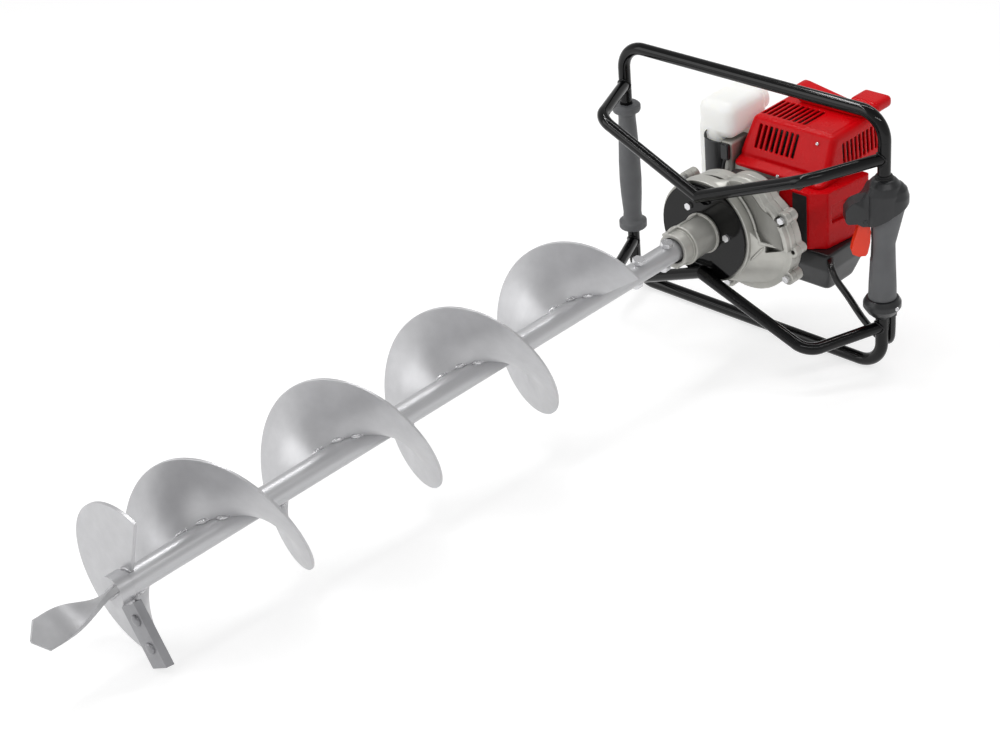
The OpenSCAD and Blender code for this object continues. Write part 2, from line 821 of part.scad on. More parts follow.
module leg(side) {
    color([0.06, 0.06, 0.06])
        tube_run([loop_x, side * leg_y, -loop_bottom + loop_bend_r],
            [loop_x, side * leg_y, loop_top - loop_bend_r], tube_r);
}

module left_leg() {
    leg(1);
}

module right_leg() {
    leg(-1);
}

function brace_bend(side, up) = [brace_x, side * brace_half_w, up > 0 ? brace_top_z : -brace_bottom_z];
function brace_end(side, up) = [loop_x, side * leg_y, up > 0 ? brace_leg_top : -brace_leg_bottom];

function brace_apex(up) = [apex_x, 0, up * brace_apex_z];
function brace_past_apex(side, up) =
    brace_apex(up) - 3 * brace_r * unit(brace_bend(side, up) - brace_apex(up));

module brace(side, up) {
    color([0.06, 0.06, 0.06]) difference() {
        bent_tube(brace_past_apex(side, up), brace_bend(side, up), brace_end(side, up), brace_bend_r, brace_r);
        translate([apex_x - 50, side > 0 ? -200 : 0, up * brace_apex_z - 100]) cube([100, 200, 200]);
        translate([loop_x, side * leg_y, -loop_bottom]) cylinder(h = loop_bottom + loop_top, r = tube_r + eps);
    }
}

module upper_brace_left() {
    brace(1, 1);
}

module upper_brace_right() {
    brace(-1, 1);
}

module lower_brace_left() {
    brace(1, -1);
}

module lower_brace_right() {
    brace(-1, -1);
}

function route_point(i) = cable_route[max(0, min(len(cable_route) - 1, i))];
function route_spline(i, t) =
    let (a = route_point(i - 1), b = route_point(i), c = route_point(i + 1), d = route_point(i + 2))
    0.5 * (2 * b + (c - a) * t + (2 * a - 5 * b + 4 * c - d) * t^2 + (3 * b - a - 3 * c + d) * t^3);

module throttle_cable() {
    spans = len(cable_route) - 1;
    spots = concat([for (i = [0:spans - 1], k = [0:cable_steps - 1]) route_spline(i, k / cable_steps)],
        [cable_route[spans]]);
    rings = len(spots);
    points = [for (i = [0:rings - 1], k = [0:cable_sides - 1])
        let (along = unit(spots[min(rings - 1, i + 1)] - spots[max(0, i - 1)]))
        let (side = unit(cross(along, cable_plane)), out = cross(side, along), a = 360 * k / cable_sides)
        spots[i] + cable_r * (cos(a) * side + sin(a) * out)];
    sides = [for (i = [0:rings - 2], k = [0:cable_sides - 1], half = [0, 1])
        let (b = cable_sides * i, k2 = (k + 1) % cable_sides)
        half == 0 ? [b + k, b + cable_sides + k, b + k2]
            : [b + k2, b + cable_sides + k, b + cable_sides + k2]];
    last = cable_sides * (rings - 1);
    ends = [for (k = [1:cable_sides - 2], end = [0, 1])
        end == 0 ? [0, k, k + 1] : [last, last + k + 1, last + k]];
    color([0.04, 0.04, 0.04]) polyhedron(points, concat(sides, ends));
}

module cable_bore(i) {
    p = cable_route[i];
    q = cable_route[i + 1];
    rod_run(p - 3 * (q - p), q + free * unit(q - p), cable_bore_r);
}

// Handles

module on_leg(side) {
    translate([loop_x, side * leg_y, 0]) children();
}

module left_grip() {
    top = grip_bottom + grip_len;
    neck_r = grip_d / 2 - 3;
    collar_r = grip_collar_d / 2;
    body_r = grip_d / 2;
    color([0.3, 0.3, 0.31]) on_leg(1) rotate_extrude() polygon([[grip_bore_r, grip_bottom],
        [collar_r - 2, grip_bottom], [collar_r, grip_bottom + 2], [collar_r, grip_bottom + collar_h - 3],
        [neck_r + 1, grip_bottom + collar_h], [neck_r, grip_bottom + collar_h + 12],
        [body_r - 0.8, grip_bottom + grip_len * 0.28], [body_r, grip_bottom + grip_len * 0.4],
        [body_r - 0.5, grip_bottom + grip_len * 0.55], [neck_r + 0.5, top - collar_h - 34],
        [neck_r - 1, top - collar_h - 6], [neck_r, top - collar_h], [collar_r - 1, top - collar_h + 3],
        [collar_r, top - collar_h + 6], [collar_r, top - 3], [collar_r - 3, top], [grip_bore_r, top]]);
}

module throttle_frame() {
    on_leg(-1) rotate([0, 0, handle_turn]) children();
}

module trigger_slot(grow) {
    xz_plate(-trigger_w / 2 - grow, trigger_w / 2 + grow) children();
}

module head_round(r, top) {
    low = head_bottom - 12;
    rotate_extrude() polygon([[0, low], [r - 2, low], [r, low + 12], [r, top - 20], [r - 3, top - 9],
        [r - 9, top - 2], [r - 14, top], [0, top]]);
}

module leg_bore() {
    translate([0, 0, -loop_bottom]) cylinder(h = loop_bottom + loop_top, r = grip_bore_r);
}

// The head and the grip part along a slanting border that drops towards the trigger
module past_border(up, gap) {
    reach = 200;
    translate([0, 0, border_z + gap]) rotate([0, border_tilt, 0])
        translate([-reach / 2, -reach / 2, up > 0 ? 0 : -reach]) cube(reach);
}

module throttle_head() {
    half = snout_w / 2;
    end_low = head_bottom + 10;
    end_high = head_bottom + 26;
    color([0.12, 0.12, 0.13]) throttle_frame() difference() {
        union() {
            head_round(head_r, head_top);
            translate([-head_back, 0, 0]) head_round(head_back_r, head_top - 8);
            xz_plate(-half, half) polygon([[0, head_bottom + 2], [30, head_bottom], [38, head_bottom + 5],
                [snout_len - 3, end_low - 4], [snout_len, end_low], [snout_len, end_high],
                [snout_len - 4, end_high + 6], [24, head_top - 8], [0, head_top - 6]]);
        }
        leg_bore();
        past_border(-1, 0);
        trigger_slot(trigger_gap) polygon([[14, 20], [14, trigger_pivot_z - 2], [19, trigger_pivot_z + 10],
            [36, trigger_pivot_z + 10], [40, trigger_pivot_z - 2], [48, 30], [48, 20]]);
        translate([trigger_pivot_r, -half - 1, trigger_pivot_z]) rotate([-90, 0, 0])
            cylinder(h = snout_w + 2, r = trigger_pin_r + slip);
        switch_slot(free);
    }
}

module switch_slot(grow) {
    translate([switch_x - grow, -snout_w / 2 - 1, switch_z - grow])
        cube([switch_w + switch_travel + 2 * grow, switch_depth + 1, switch_w + 2 * grow]);
}

module stop_switch() {
    proud = 3;
    color("firebrick") throttle_frame() translate([switch_x, -snout_w / 2 - proud, switch_z])
        cube([switch_w, proud + switch_depth - slip, switch_w]);
}

module throttle_grip() {
    body_r = throttle_d / 2;
    top = head_top - 24;
    bottom = throttle_bottom;
    color([0.33, 0.33, 0.34]) throttle_frame() difference() {
        union() {
            rotate_extrude() polygon([[0, bottom], [body_r + 1, bottom], [body_r + 0.5, bottom + 22],
                [body_r - 1, bottom + 55], [body_r - 2, bottom + 85], [body_r - 1, head_bottom],
                [body_r + 3, top], [0, top]]);
            hull() {
                translate([0, 0, bottom + 80]) cylinder(h = 2, r = body_r - 3, $fn = 32);
                translate([-head_back, 0, top - 12]) cylinder(h = 11, r = head_r - 5, $fn = 32);
            }
        }
        leg_bore();
        past_border(1, -slip);
        trigger_slot(trigger_gap) polygon([[trigger_stop_x, -18], [trigger_stop_x, top],
            [45, top], [45, -18]]);
    }
}

module throttle_collar() {
    r = throttle_collar_d / 2;
    top = throttle_bottom;
    bottom = throttle_bottom - throttle_collar_h;
    color([0.14, 0.14, 0.15]) difference() {
        union() {
            throttle_frame() rotate_extrude() polygon([[0, bottom], [grip_bore_r + 2.5, bottom],
                [r - 6, bottom + 9], [r, bottom + 18], [r, bottom + 25], [throttle_d / 2 + 4, top], [0, top]]);
            translate([cable_route[0][0], cable_route[0][1], bottom - 2]) cylinder(h = 14, r = cable_gland_r);
        }
        throttle_frame() leg_bore();
        translate(cable_route[0] + [0, 0, free - 30]) cylinder(h = 30, r = cable_bore_r);
    }
}

function trigger_back(z) = trigger_stop_x + trigger_gap + (trigger_pivot_z - z) * sin(trigger_travel);

module trigger() {
    color([0.9, 0.2, 0.08]) throttle_frame() difference() {
        union() {
            trigger_slot(0) polygon([[20, trigger_pivot_z - 4], [33, trigger_pivot_z], [37, 30], [42, 14],
                [45, 0], [43, -6], [35, -10], [25, -10], [trigger_back(-6), -6], [trigger_back(10), 10],
                [18, 28]]);
            translate([trigger_pivot_r, -trigger_w / 2, trigger_pivot_z]) rotate([-90, 0, 0])
                cylinder(h = trigger_w, r = 6.5);
        }
        translate([trigger_pivot_r, -20, trigger_pivot_z]) rotate([-90, 0, 0])
            cylinder(h = 40, r = trigger_pin_r + run);
    }
}

module trigger_pin() {
    half = snout_w / 2;
    color("silver") throttle_frame() translate([trigger_pivot_r, -half, trigger_pivot_z]) rotate([-90, 0, 0])
        cylinder(h = snout_w, r = trigger_pin_r);
}

// Engine

module fan_housing() {
    left = 26;
    top = 60;
    bottom = -70;
    color([0.1, 0.1, 0.11]) difference() {
        yz_plate(fan_x, block_x) hull() {
            translate([fan_right + 8, top - 8]) circle(r = 8, $fn = 32);
            translate([left - 20, top - 20]) circle(r = 20, $fn = 32);
            translate([fan_right + 20, bottom + 20]) circle(r = 20, $fn = 32);
            translate([left - 30, bottom + 30]) circle(r = 30, $fn = 32);
        }
        at_crank() bar_x(fan_x - 1, block_x + 1, clutch_case_r + slip);
    }
}

module crankcase() {
    color("darkgray") difference() {
        union() {
            at_crank() bar_x(block_x, block_back_x, crankcase_r);
            translate([block_x + 24, block_right, block_bottom])
                cube([block_len, block_left - block_right, block_top - block_bottom]);
        }
        at_crank() translate([0, 40, 24]) bar_x(block_back_x + recoil_depth - 14 - cord_len, block_back_x + 1,
            cord_r + free);
    }
}

cylinder_x = block_x + 64;
cylinder_reach = 28;

module cylinder_axis() {
    translate([cylinder_x, block_right, crank_z + 8]) rotate([90, 0, 0]) children();
}

module engine_cylinder() {
    color("silver") cylinder_axis() {
        cylinder(h = cylinder_reach, r = 24);
        for (i = [0:3]) translate([0, 0, 3 + 6 * i]) cylinder(h = 2.5, r = 30);
    }
}

module muffler() {
    seat = block_top + cover_wall;
    color("dimgray") rounded_box([muffler_x, -96, seat], [muffler_x + muffler_len, 14, seat + 40], 8);
}

module shroud_shape(inset) {
    r = 10 - inset;
    base = block_top - (inset > 0 ? 1 : 0);
    top = block_top + shroud_h - inset;
    skirt_h = 16;
    x0 = shroud_x + inset + r;
    x1 = shroud_back_x - inset - r;
    y0 = shroud_right + inset + r;
    y1 = shroud_left - inset - r;
    hull() {
        for (x = [x0 + 15, x1], y = [y0, y1]) translate([x, y, base])
            cylinder(h = skirt_h, r = r, $fn = 24);
        for (x = [x0 + 36, x1 - 8], y = [y0 + 3, y1 - 6]) translate([x, y, top - r])
            sphere(r = r, $fn = 20);
    }
    hull() for (y = [y0, y1]) {
        translate([x0, y, base]) cylinder(h = 5, r = r, $fn = 24);
        translate([x0 + 30, y, base]) cylinder(h = skirt_h, r = r, $fn = 24);
    }
}

module top_shroud() {
    top = block_top + shroud_h;
    front_pitch = 9.3;
    front_slot = [50, louvre_w, 32];
    roof_pitch = 9;
    roof_slot = [52, louvre_w, 20];
    side_pitch = 9.6;
    side_slot = [louvre_w, 20, 36];
    panel = [54, 46, 1.2];
    floor_x = block_back_x + free;
    color([0.8, 0.05, 0.07]) {
        difference() {
            union() {
                shroud_shape(0);
                translate([160, -108, top - 2]) cube([panel[0], panel[1], 2 + panel[2]]);
            }
            shroud_shape(cover_wall);
            for (i = [0:7]) translate([shroud_x, 6 - front_pitch * i, block_top + 25]) cube(front_slot);
            for (i = [0:8]) translate([166, 15.5 - roof_pitch * i, top - 12]) cube(roof_slot);
            for (i = [0:8]) translate([169.5 + side_pitch * i, shroud_right - 5, block_top + 14])
                cube(side_slot);
        }
        translate([floor_x, shroud_right + 1, block_top])
            cube([shroud_back_x - floor_x - 12, shroud_left - shroud_right - 2, cover_wall]);
    }
}

module side_cover_outline(inset) {
    r = 6;
    open = inset > 0 ? 26 : 0;
    hull() {
        translate([block_x + r, cover_front_y + r]) circle(r = r - inset, $fn = 24);
        translate([cover_side_x + r, cover_side_y + r]) circle(r = r - inset, $fn = 24);
        translate([block_back_x - r, cover_back_y + r]) circle(r = r - inset, $fn = 24);
        for (x = [block_x + r, block_back_x - r]) translate([x, block_right - r + open])
            circle(r = r - inset, $fn = 24);
    }
}

module side_cover() {
    recess_x = [121, 161];
    recess_z = [2, 30];
    recess_y = [cover_side_y + 5, cover_side_y + 0.6];
    outside_y = cover_back_y - 20;
    flange_y = cover_front_y + 7;
    height = block_top - cover_bottom;
    color([0.75, 0.05, 0.07]) difference() {
        union() {
            difference() {
                translate([0, 0, cover_bottom]) linear_extrude(height) side_cover_outline(0);
                translate([0, 0, cover_bottom + cover_wall]) linear_extrude(height - 2 * cover_wall)
                    side_cover_outline(cover_wall);
            }
            translate([recess_x[0] - 3, recess_y[1], recess_z[0] - 3])
                cube([recess_x[1] - recess_x[0] + 6, 9, recess_z[1] - recess_z[0] + 6]);
            yz_plate(block_x + 0.5, block_x + cover_wall + 1) difference() {
                translate([flange_y, cover_bottom + 0.5]) square([fan_right - flange_y, height - 1]);
                translate([crank_y, crank_z]) circle(r = crankcase_r + free);
            }
        }
        translate([0, 0, recess_z[0]]) linear_extrude(recess_z[1] - recess_z[0])
            polygon([[recess_x[0], recess_y[0]], [recess_x[1], recess_y[1]], [recess_x[1], outside_y],
                [recess_x[0], outside_y]]);
    }
}

module air_filter() {
    top = cover_bottom;
    bottom = cover_bottom - filter_h;
    color([0.11, 0.11, 0.12]) difference() {
        hull() {
            rounded_box([96, -150, top - 30], [186, -58, top], 4);
            rounded_box([106, -142, bottom], [178, -70, bottom + 30], 14);
        }
        at_crank() bar_x(block_x - 30, block_back_x + 30, crankcase_r + free);
        cable_bore(len(cable_route) - 2);
    }
}

module carburettor() {
    color([0.09, 0.09, 0.1]) rounded_box([tank_x + free, block_left, 14],
        [tank_x + tank_len / 2, block_left + carburettor_w, tank_seat_z], 4);
}

module fuel_tank() {
    back_x = tank_x + tank_len;
    left_y = block_left + tank_t;
    seat_x = tank_x + tank_len / 2 + 6;
    color([0.93, 0.93, 0.88]) {
        rounded_box([tank_x + 1.5, block_left, tank_seat_z], [back_x, left_y, tank_seat_z + tank_h], 16, 20);
        rounded_box([tank_x, block_left + carburettor_w + 2, tank_seat_z - tank_drop],
            [back_x - 3, left_y - 1.5, tank_seat_z + 26], 12, 20);
        translate([seat_x, block_left, block_top - 14])
            cube([30, carburettor_w + 20, tank_seat_z - block_top + 34]);
        translate([0, block_left + tank_t / 2, tank_seat_z + tank_h / 2])
            bar_x(back_x - 20, back_x, cap_neck_r);
    }
}

module fuel_cap() {
    seat_x = tank_x + tank_len + free;
    cap_h = 16;
    color("black") translate([seat_x, block_left + tank_t / 2, tank_seat_z + tank_h / 2]) {
        bar_x(0, cap_h, cap_neck_r + 4);
        translate([cap_h - eps, -3, -cap_neck_r - 1]) cube([6, 6, 2 * cap_neck_r + 2]);
    }
}

module tank_shield() {
    w = 30;
    low = 22;
    high = 86;
    curve_r = 26;
    y0 = block_left + 17;
    color([0.12, 0.12, 0.13]) {
        translate([0, 0, low]) linear_extrude(high - low) intersection() {
            translate([tank_x + 18, y0 + w / 2]) circle(r = curve_r);
            translate([tank_x - 12, y0]) square([12, w]);
        }
        translate([tank_x - 7, y0 + w / 2, high - 1]) cube([4, w / 2, 12]);
    }
}

module rear_guard() {
    z0 = block_top + shroud_h;
    foot_h = 2;
    color([0.8, 0.1, 0.12]) {
        hull() {
            rounded_box([guard_x, -10, z0 + 6], [guard_x + guard_t - 2, 4, z0 + 28], 5);
            rounded_box([guard_x, -104, z0 + foot_h], [guard_x + guard_t - 2, -92, z0 + 12], 5);
            translate([guard_x + 4, -98, z0]) cube([guard_t - 10, 94, foot_h]);
        }
        hull() {
            rounded_box([guard_x - 4, -142, z0 + 14], [guard_x + guard_t + 10, -94, z0 + 32], 7);
            translate([guard_x + 5, -108, z0]) cube([guard_t - 12, 20, foot_h]);
        }
    }
}

module recoil_housing() {
    color([0.1, 0.1, 0.11]) at_crank() difference() {
        union() {
            bar_x(block_back_x, block_back_x + recoil_depth - 8, recoil_r);
            translate([block_back_x + recoil_depth - 8 - eps, 0, 0]) rotate([0, 90, 0])
                cylinder(h = 8, r1 = recoil_r, r2 = recoil_r - 8);
        }
        for (i = [0:11]) rotate([30 * i, 0, 0]) translate([block_back_x + recoil_depth - 6, 24, -2.5])
            cube([10, 22, 5]);
        translate([0, 40, 24]) {
            bar_x(block_back_x + recoil_depth - 12, block_back_x + recoil_depth + 1, 9);
            bar_x(block_back_x - 1, block_back_x + recoil_depth, cord_r + free);
        }
    }
}

module starter_grip() {
    x0 = block_back_x + recoil_depth - 12;
    color([0.12, 0.12, 0.13]) at_crank() translate([0, 40, 24]) {
        bar_x(x0 + free, x0 + 20, 8.5);
        bar_x(x0 - cord_len, x0 + 1, cord_r);
        translate([x0 + 28, -34, 0]) rotate([-90, 0, 0]) cylinder(h = 68, r = grip_bar_r);
    }
}

row() bit_tube();
row() flight_turn(0);  // flight_turn_1
row() flight_turn(1);  // flight_turn_2
row() flight_turn(2);  // flight_turn_3
row() flight_turn(3);  // flight_turn_4
row() half_moon_plate();
row() cutting_blade();
row() blade_bolts();
row() tip_hub();
row() pilot_point();
row() coupling_bolts();
row() output_shaft();
row() output_gear();
row() idler_shaft();
row() idler_gear();
row() input_pinion();
row() clutch_drum();
row() gearbox_nose();
row() mounting_disc();
row() disc_bolts();
row() gearbox_front();
row() gearbox_rear();
row() gearbox_bolts();
row() output_bearings();
row() oil_seal();
row() idler_bushes();
row() input_bearing();
row() loop_top_bar();
row() loop_bottom_bar();
row() left_leg();
row() right_leg();
row() upper_brace_left();
row() upper_brace_right();
row() lower_brace_left();
row() lower_brace_right();
row() throttle_cable();
row() left_grip();
row() throttle_head();
row() throttle_grip();
row() throttle_collar();
row() trigger();
row() trigger_pin();
row() stop_switch();
row() fan_housing();
row() crankcase();
row() engine_cylinder();
row() muffler();
row() top_shroud();
row() side_cover();
row() air_filter();
row() carburettor();
row() fuel_tank();
row() fuel_cap();
row() tank_shield();
row() rear_guard();
row() recoil_housing();
row() starter_grip();
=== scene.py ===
"""Looks of the petrol earth auger: finishes, plate, castings, mouldings, hardware, light and camera."""

import json
import math
import random

import bmesh
import bpy
from mathutils import Matrix, Vector
from mathutils.bvhtree import BVHTree

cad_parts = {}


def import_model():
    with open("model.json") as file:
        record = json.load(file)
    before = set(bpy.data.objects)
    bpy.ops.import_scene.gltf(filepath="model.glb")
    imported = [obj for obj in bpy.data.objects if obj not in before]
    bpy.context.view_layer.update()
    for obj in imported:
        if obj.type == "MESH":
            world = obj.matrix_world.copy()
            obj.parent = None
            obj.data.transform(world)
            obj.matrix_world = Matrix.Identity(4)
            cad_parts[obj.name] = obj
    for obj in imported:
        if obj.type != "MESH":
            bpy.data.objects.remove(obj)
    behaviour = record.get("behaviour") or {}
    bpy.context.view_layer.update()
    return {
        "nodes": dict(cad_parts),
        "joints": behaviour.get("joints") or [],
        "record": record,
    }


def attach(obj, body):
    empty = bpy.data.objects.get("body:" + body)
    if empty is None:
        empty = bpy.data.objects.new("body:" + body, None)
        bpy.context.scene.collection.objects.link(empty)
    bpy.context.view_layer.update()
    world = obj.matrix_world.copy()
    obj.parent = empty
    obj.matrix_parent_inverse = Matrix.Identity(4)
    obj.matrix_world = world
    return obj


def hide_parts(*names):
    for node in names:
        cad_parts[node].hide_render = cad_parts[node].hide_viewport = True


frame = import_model()
scene = bpy.context.scene
MM = 0.001
joints = {j["name"]: j for j in frame["joints"]}

# Drill frame: X along the drill axis towards the engine, Z up the legs, in millimetres
drill_x = Vector(joints["auger_spin"]["axis"]).normalized()
drill_y = Vector((0, 1, 0))
drill_z = drill_x.cross(drill_y)
drill_origin = Vector(joints["auger_spin"]["pos_m"])


def drill(x, y, z):
    """A point given in the drill frame in millimetres, as a point in the row frame in metres."""
    return drill_origin + (drill_x * x + drill_y * y + drill_z * z) * MM


DRILL = Matrix((
    (drill_x.x * MM, drill_y.x * MM, drill_z.x * MM, drill_origin.x),
    (drill_x.y * MM, drill_y.y * MM, drill_z.y * MM, drill_origin.y),
    (drill_x.z * MM, drill_y.z * MM, drill_z.z * MM, drill_origin.z),
    (0, 0, 0, 1)))

# Sizes that the scene shares with the solids, in millimetres and degrees
FLIGHT_R = 100.0
FLIGHT_PITCH = 213.0
FLIGHT_TURNS = 3.75
FLIGHT_T = 4.0
FLIGHT_START_A = 236.0
FLIGHT_START_X = -1031.3
TUBE_R = 16.0
PILOT_X = -1052.0
PILOT_LEN = 110.0
PILOT_W = 40.0
PILOT_T = 8.0
PILOT_START_A = 48.0
PILOT_TWIST = 92.0
MOON_X = -1026.0
BLADE_A = 241.0
BLADE_X = -1041.5
BLADE_BOLTS = (42.0, 78.0)
LOOP_X = 108.5
LEG_Y = 232.0
FRAME_R = 9.25
BRACE_R = 8.75
BRACE_X = -3.0
BRACE_Y = 184.0
BRACE_Z = 134.0
BRACE_TOP = 135.0
BRACE_BOTTOM = 128.0
BRACE_APEX_Z = 61.0
HEAD_TOP = 106.0
SHIELD_X = 132.0
SHIELD_Y = 54.0
SHIELD_W = 30.0
SHIELD_R = 26.0
SHIELD_T = 3.0
SHIELD_LOW = 22.0
SHIELD_TOP = 86.0
CRANK = Vector((-50, -9))
IDLER = Vector((-48, 36))
BOSS_R = 78.0

# The flighting's rounded rims and the stitch welds, by share of a turn
FLIGHT_STEP = 2.0
FLIGHT_RIM = 0.7
FLIGHT_INNER = TUBE_R + 0.05
FLIGHT_MIDDLE = (40, 70)
STITCHES = (0.03, 0.14, 0.41, 0.53, 0.63, 0.9)
STITCH_STEP = 2.6
STITCH_POINTS = 9
STITCH_OUT = 1.6
STITCH_OVER = 1.2

# Other welds: how far they stand off, how far they run, and all the beads' radii
BEAD_OFF = 0.5
APEX_WELD_X = -1.4
APEX_WELD_STEP = 1.5
MOON_WELD_A = 264.0
MOON_WELD_SWEEP = 206.0
BLADE_ROOT = 18.6
BLADE_WELD_X = (1.5, 7)
WELD_HALF = 15
WELD_STEP = 2
STITCH_BEAD = 3.0
LEG_BEAD = 1.7
APEX_BEAD = 2.4
MOON_BEAD = 2.4
BLADE_BEAD = 3.4
PILOT_BEAD = 2.2

# The pilot's even twist, its ground point and its chamfers
PILOT_TWIST_LEN = 96.0
PILOT_POINT_LEN = 14.0
PILOT_TAPER = 2.5
PILOT_NICK = 0.8

# The throttle head's snout as (distance from the leg, height), and the cable's sleeve
SNOUT = [(17, 106), (24, 92), (28, 84), (32, 80), (60, 70)]
SLEEVE = 1.2

# The front casting's hollow as (y, z) corners, with its depth, and its ribs
RIDGE = [(-41, 62), (-89, 2), (-122, -4)]
RIM_R = 72.5
RIM_START_A = 84.0
RIM_SWEEP = 92.0
HOLLOW_R = 39.0
HOLLOW_START_A = 95.0
HOLLOW_SWEEP = 150.0
WEB_X = 24.2
WEB_DEPTH = 7.0
EDGE_X = 21.5
EDGE_START_A = 118.0
EDGE_SWEEP = 50.0
RIB_POINT = (17.4, -88.0, 1.2)
RIB_END = (34.5, -121.0, -5.2)
LOWER_RIB = [(-93, -5), (-75, -28)]
RIDGE_R = 2.6
LOWER_RIB_R = 2.0

# The shield's horn as (outer y, inner y, z), and the fuel hose's route
HORN_X = (109.8, 112.8)
HORN = [(84, 80.4, 84), (84, 81, 89), (82.8, 80.9, 93), (80, 79.2, 96.8)]
HOSE = [(112, 46, 60), (108, 46, 55), (106, 46.5, 46), (107, 48, 37), (111, 50, 30), (117, 51, 27)]
HOSE_R = 2.4

# Screws as (place, direction, head radius), their heads and the blade's bolt heads as profiles
SCREWS = [((114.0, -47.0, 54.5), (-1, 0, 0), 3.0),
          ((146.5, -93.0, 105.0), (-0.92, 0, 0.4), 2.6),
          ((105.0, -258.6, -90.0), (-0.13, -0.99, 0), 3.2)]
PAN_HEAD = [(1.0, 0.0), (1.0, 0.35), (0.86, 0.58), (0.55, 0.7), (0.42, 0.72)]
BLADE_HEAD = [(7.5, 0.4), (7.5, -1.0), (6.7, -2.4), (4.8, -3.4), (2.4, -3.9), (0.4, -4.0)]


# Materials

def linear(r, g, b):
    """An sRGB colour from 0 to 255 as linear values."""
    def one(c):
        c /= 255
        return c / 12.92 if c <= 0.04045 else ((c + 0.055) / 1.055) ** 2.4
    return (one(r), one(g), one(b), 1.0)


class Shader:
    """A node material built step by step."""

    def __init__(self, name):
        self.mat = bpy.data.materials.new(name)
        self.mat.use_nodes = True
        self.tree = self.mat.node_tree
        self.bsdf = self.tree.nodes["Principled BSDF"]
        self.coords = self.add("ShaderNodeTexCoord").outputs["Object"]

    def add(self, kind, **inputs):
        node = self.tree.nodes.new(kind)
        for key, value in inputs.items():
            node.inputs[key.replace("_", " ")].default_value = value
        return node

    def link(self, a, b):
        self.tree.links.new(a, b)

    def set(self, **inputs):
        for key, value in inputs.items():
            self.bsdf.inputs[key.replace("_", " ")].default_value = value

    def noise(self, scale, detail=4.0, roughness=0.55, stretch=None):
        node = self.add("ShaderNodeTexNoise", Scale=scale, Detail=detail, Roughness=roughness)
        if stretch:
            mapping = self.add("ShaderNodeMapping", Scale=stretch)
            self.link(self.coords, mapping.inputs["Vector"])
            self.link(mapping.outputs["Vector"], node.inputs["Vector"])
        else:
            self.link(self.coords, node.inputs["Vector"])
        return node.outputs["Fac"]

    def ramp(self, fac, *stops):
        node = self.add("ShaderNodeValToRGB")
        ramp = node.color_ramp
        while len(ramp.elements) < len(stops):
            ramp.elements.new(0.5)
        for element, (place, colour) in zip(ramp.elements, stops):
            element.position = place
            element.color = colour
        self.link(fac, node.inputs["Fac"])
        return node.outputs["Color"]

    def spread(self, fac, low, high):
        """A noise's usual range stretched between two values."""
        node = self.add("ShaderNodeMapRange", From_Min=0.3, From_Max=0.7, To_Min=low, To_Max=high)
        self.link(fac, node.inputs["Value"])
        return node.outputs["Result"]

    def colour(self, output):
        self.link(output, self.bsdf.inputs["Base Color"])

    def roughness(self, output):
        self.link(output, self.bsdf.inputs["Roughness"])

    def bump(self, height, strength, edge=0.0):
        """A fine surface texture, and edges rounded in the shading alone by a radius in metres."""
        node = self.add("ShaderNodeBump", Strength=strength, Distance=0.0004)
        self.link(height, node.inputs["Height"])
        if edge:
            bevel = self.add("ShaderNodeBevel", Radius=edge)
            bevel.samples = 6
            self.link(bevel.outputs["Normal"], node.inputs["Normal"])
        self.link(node.outputs["Normal"], self.bsdf.inputs["Normal"])


def shades(rgb, low, high):
    """Two sRGB shades of one colour, darker and lighter by the given factors."""
    return [linear(*(min(255, c * k) for c in rgb)) for k in (low, high)]


def painted(name, rgb, rough, metal=0.0, vary=0.06, grain=900, bump=0.05, edge=0.0007, gloss=0.5):
    """A finish with slight colour variation, cloudy gloss and a fine surface texture."""
    s = Shader(name)
    s.set(Metallic=metal, Specular_IOR_Level=gloss)
    dark, light = shades(rgb, 1 - vary, 1 + vary)
    s.colour(s.ramp(s.noise(22), (0.32, dark), (0.68, light)))
    s.roughness(s.spread(s.noise(45, 6), rough * 0.85, rough * 1.15))
    s.bump(s.noise(grain, 3), bump, edge)
    return s.mat


def bit_steel():
    """Satin grey enamel on rolled plate: even, with faint rolling streaks and a soft sheen."""
    s = Shader("bit_steel")
    s.set(Metallic=0.6)
    streaks = s.noise(60, 3, stretch=(0.06, 1, 1))
    s.colour(s.ramp(streaks, (0.3, linear(192, 192, 194)), (0.7, linear(199, 199, 201))))
    s.roughness(s.spread(s.noise(26, 4), 0.34, 0.41))
    s.bump(s.noise(700, 2), 0.025, 0.0006)
    return s.mat


def cast_metal():
    """As-cast aluminium: pale grey, sandy and faintly stained, with painted shade darkening its hollows and
    creases.
    """
    s = Shader("cast_aluminium")
    s.set(Metallic=0.5)
    cloudy = s.ramp(s.noise(26, 5), (0.3, linear(184, 183, 177)), (0.7, linear(201, 200, 194)))
    # Painted shade: an occlusion pass darkens the base colour in hollows and creases, where shade falls
    hollow = s.add("ShaderNodeAmbientOcclusion", Distance=0.022)
    hollow.samples = 8
    painted_hollow_shade = s.ramp(hollow.outputs["AO"], (0.3, (0.22, 0.22, 0.21, 1)), (0.9, (1, 1, 1, 1)))
    both = s.add("ShaderNodeVectorMath")
    both.operation = "MULTIPLY"
    s.link(cloudy, both.inputs[0])
    s.link(painted_hollow_shade, both.inputs[1])
    s.colour(both.outputs["Vector"])
    s.roughness(s.spread(s.noise(60, 4), 0.36, 0.46))
    s.bump(s.noise(1500, 3, 0.6), 0.12)
    return s.mat


def tank_plastic():
    """Milky polyethylene that lets light in, with a faint painted glow from its emission."""
    s = Shader("tank_plastic")
    # The emission strength is a painted glow, standing in for light passing through the milky walls
    s.set(Subsurface_Weight=0.5, Subsurface_Scale=0.03, Subsurface_Radius=(0.95, 0.92, 0.8),
          Roughness=0.36, Emission_Strength=0.1, Emission_Color=(1.0, 1.0, 0.96, 1.0))
    s.colour(s.ramp(s.noise(18), (0.35, linear(249, 250, 244)), (0.65, linear(254, 254, 250))))
    s.bump(s.noise(500, 3), 0.05)
    return s.mat


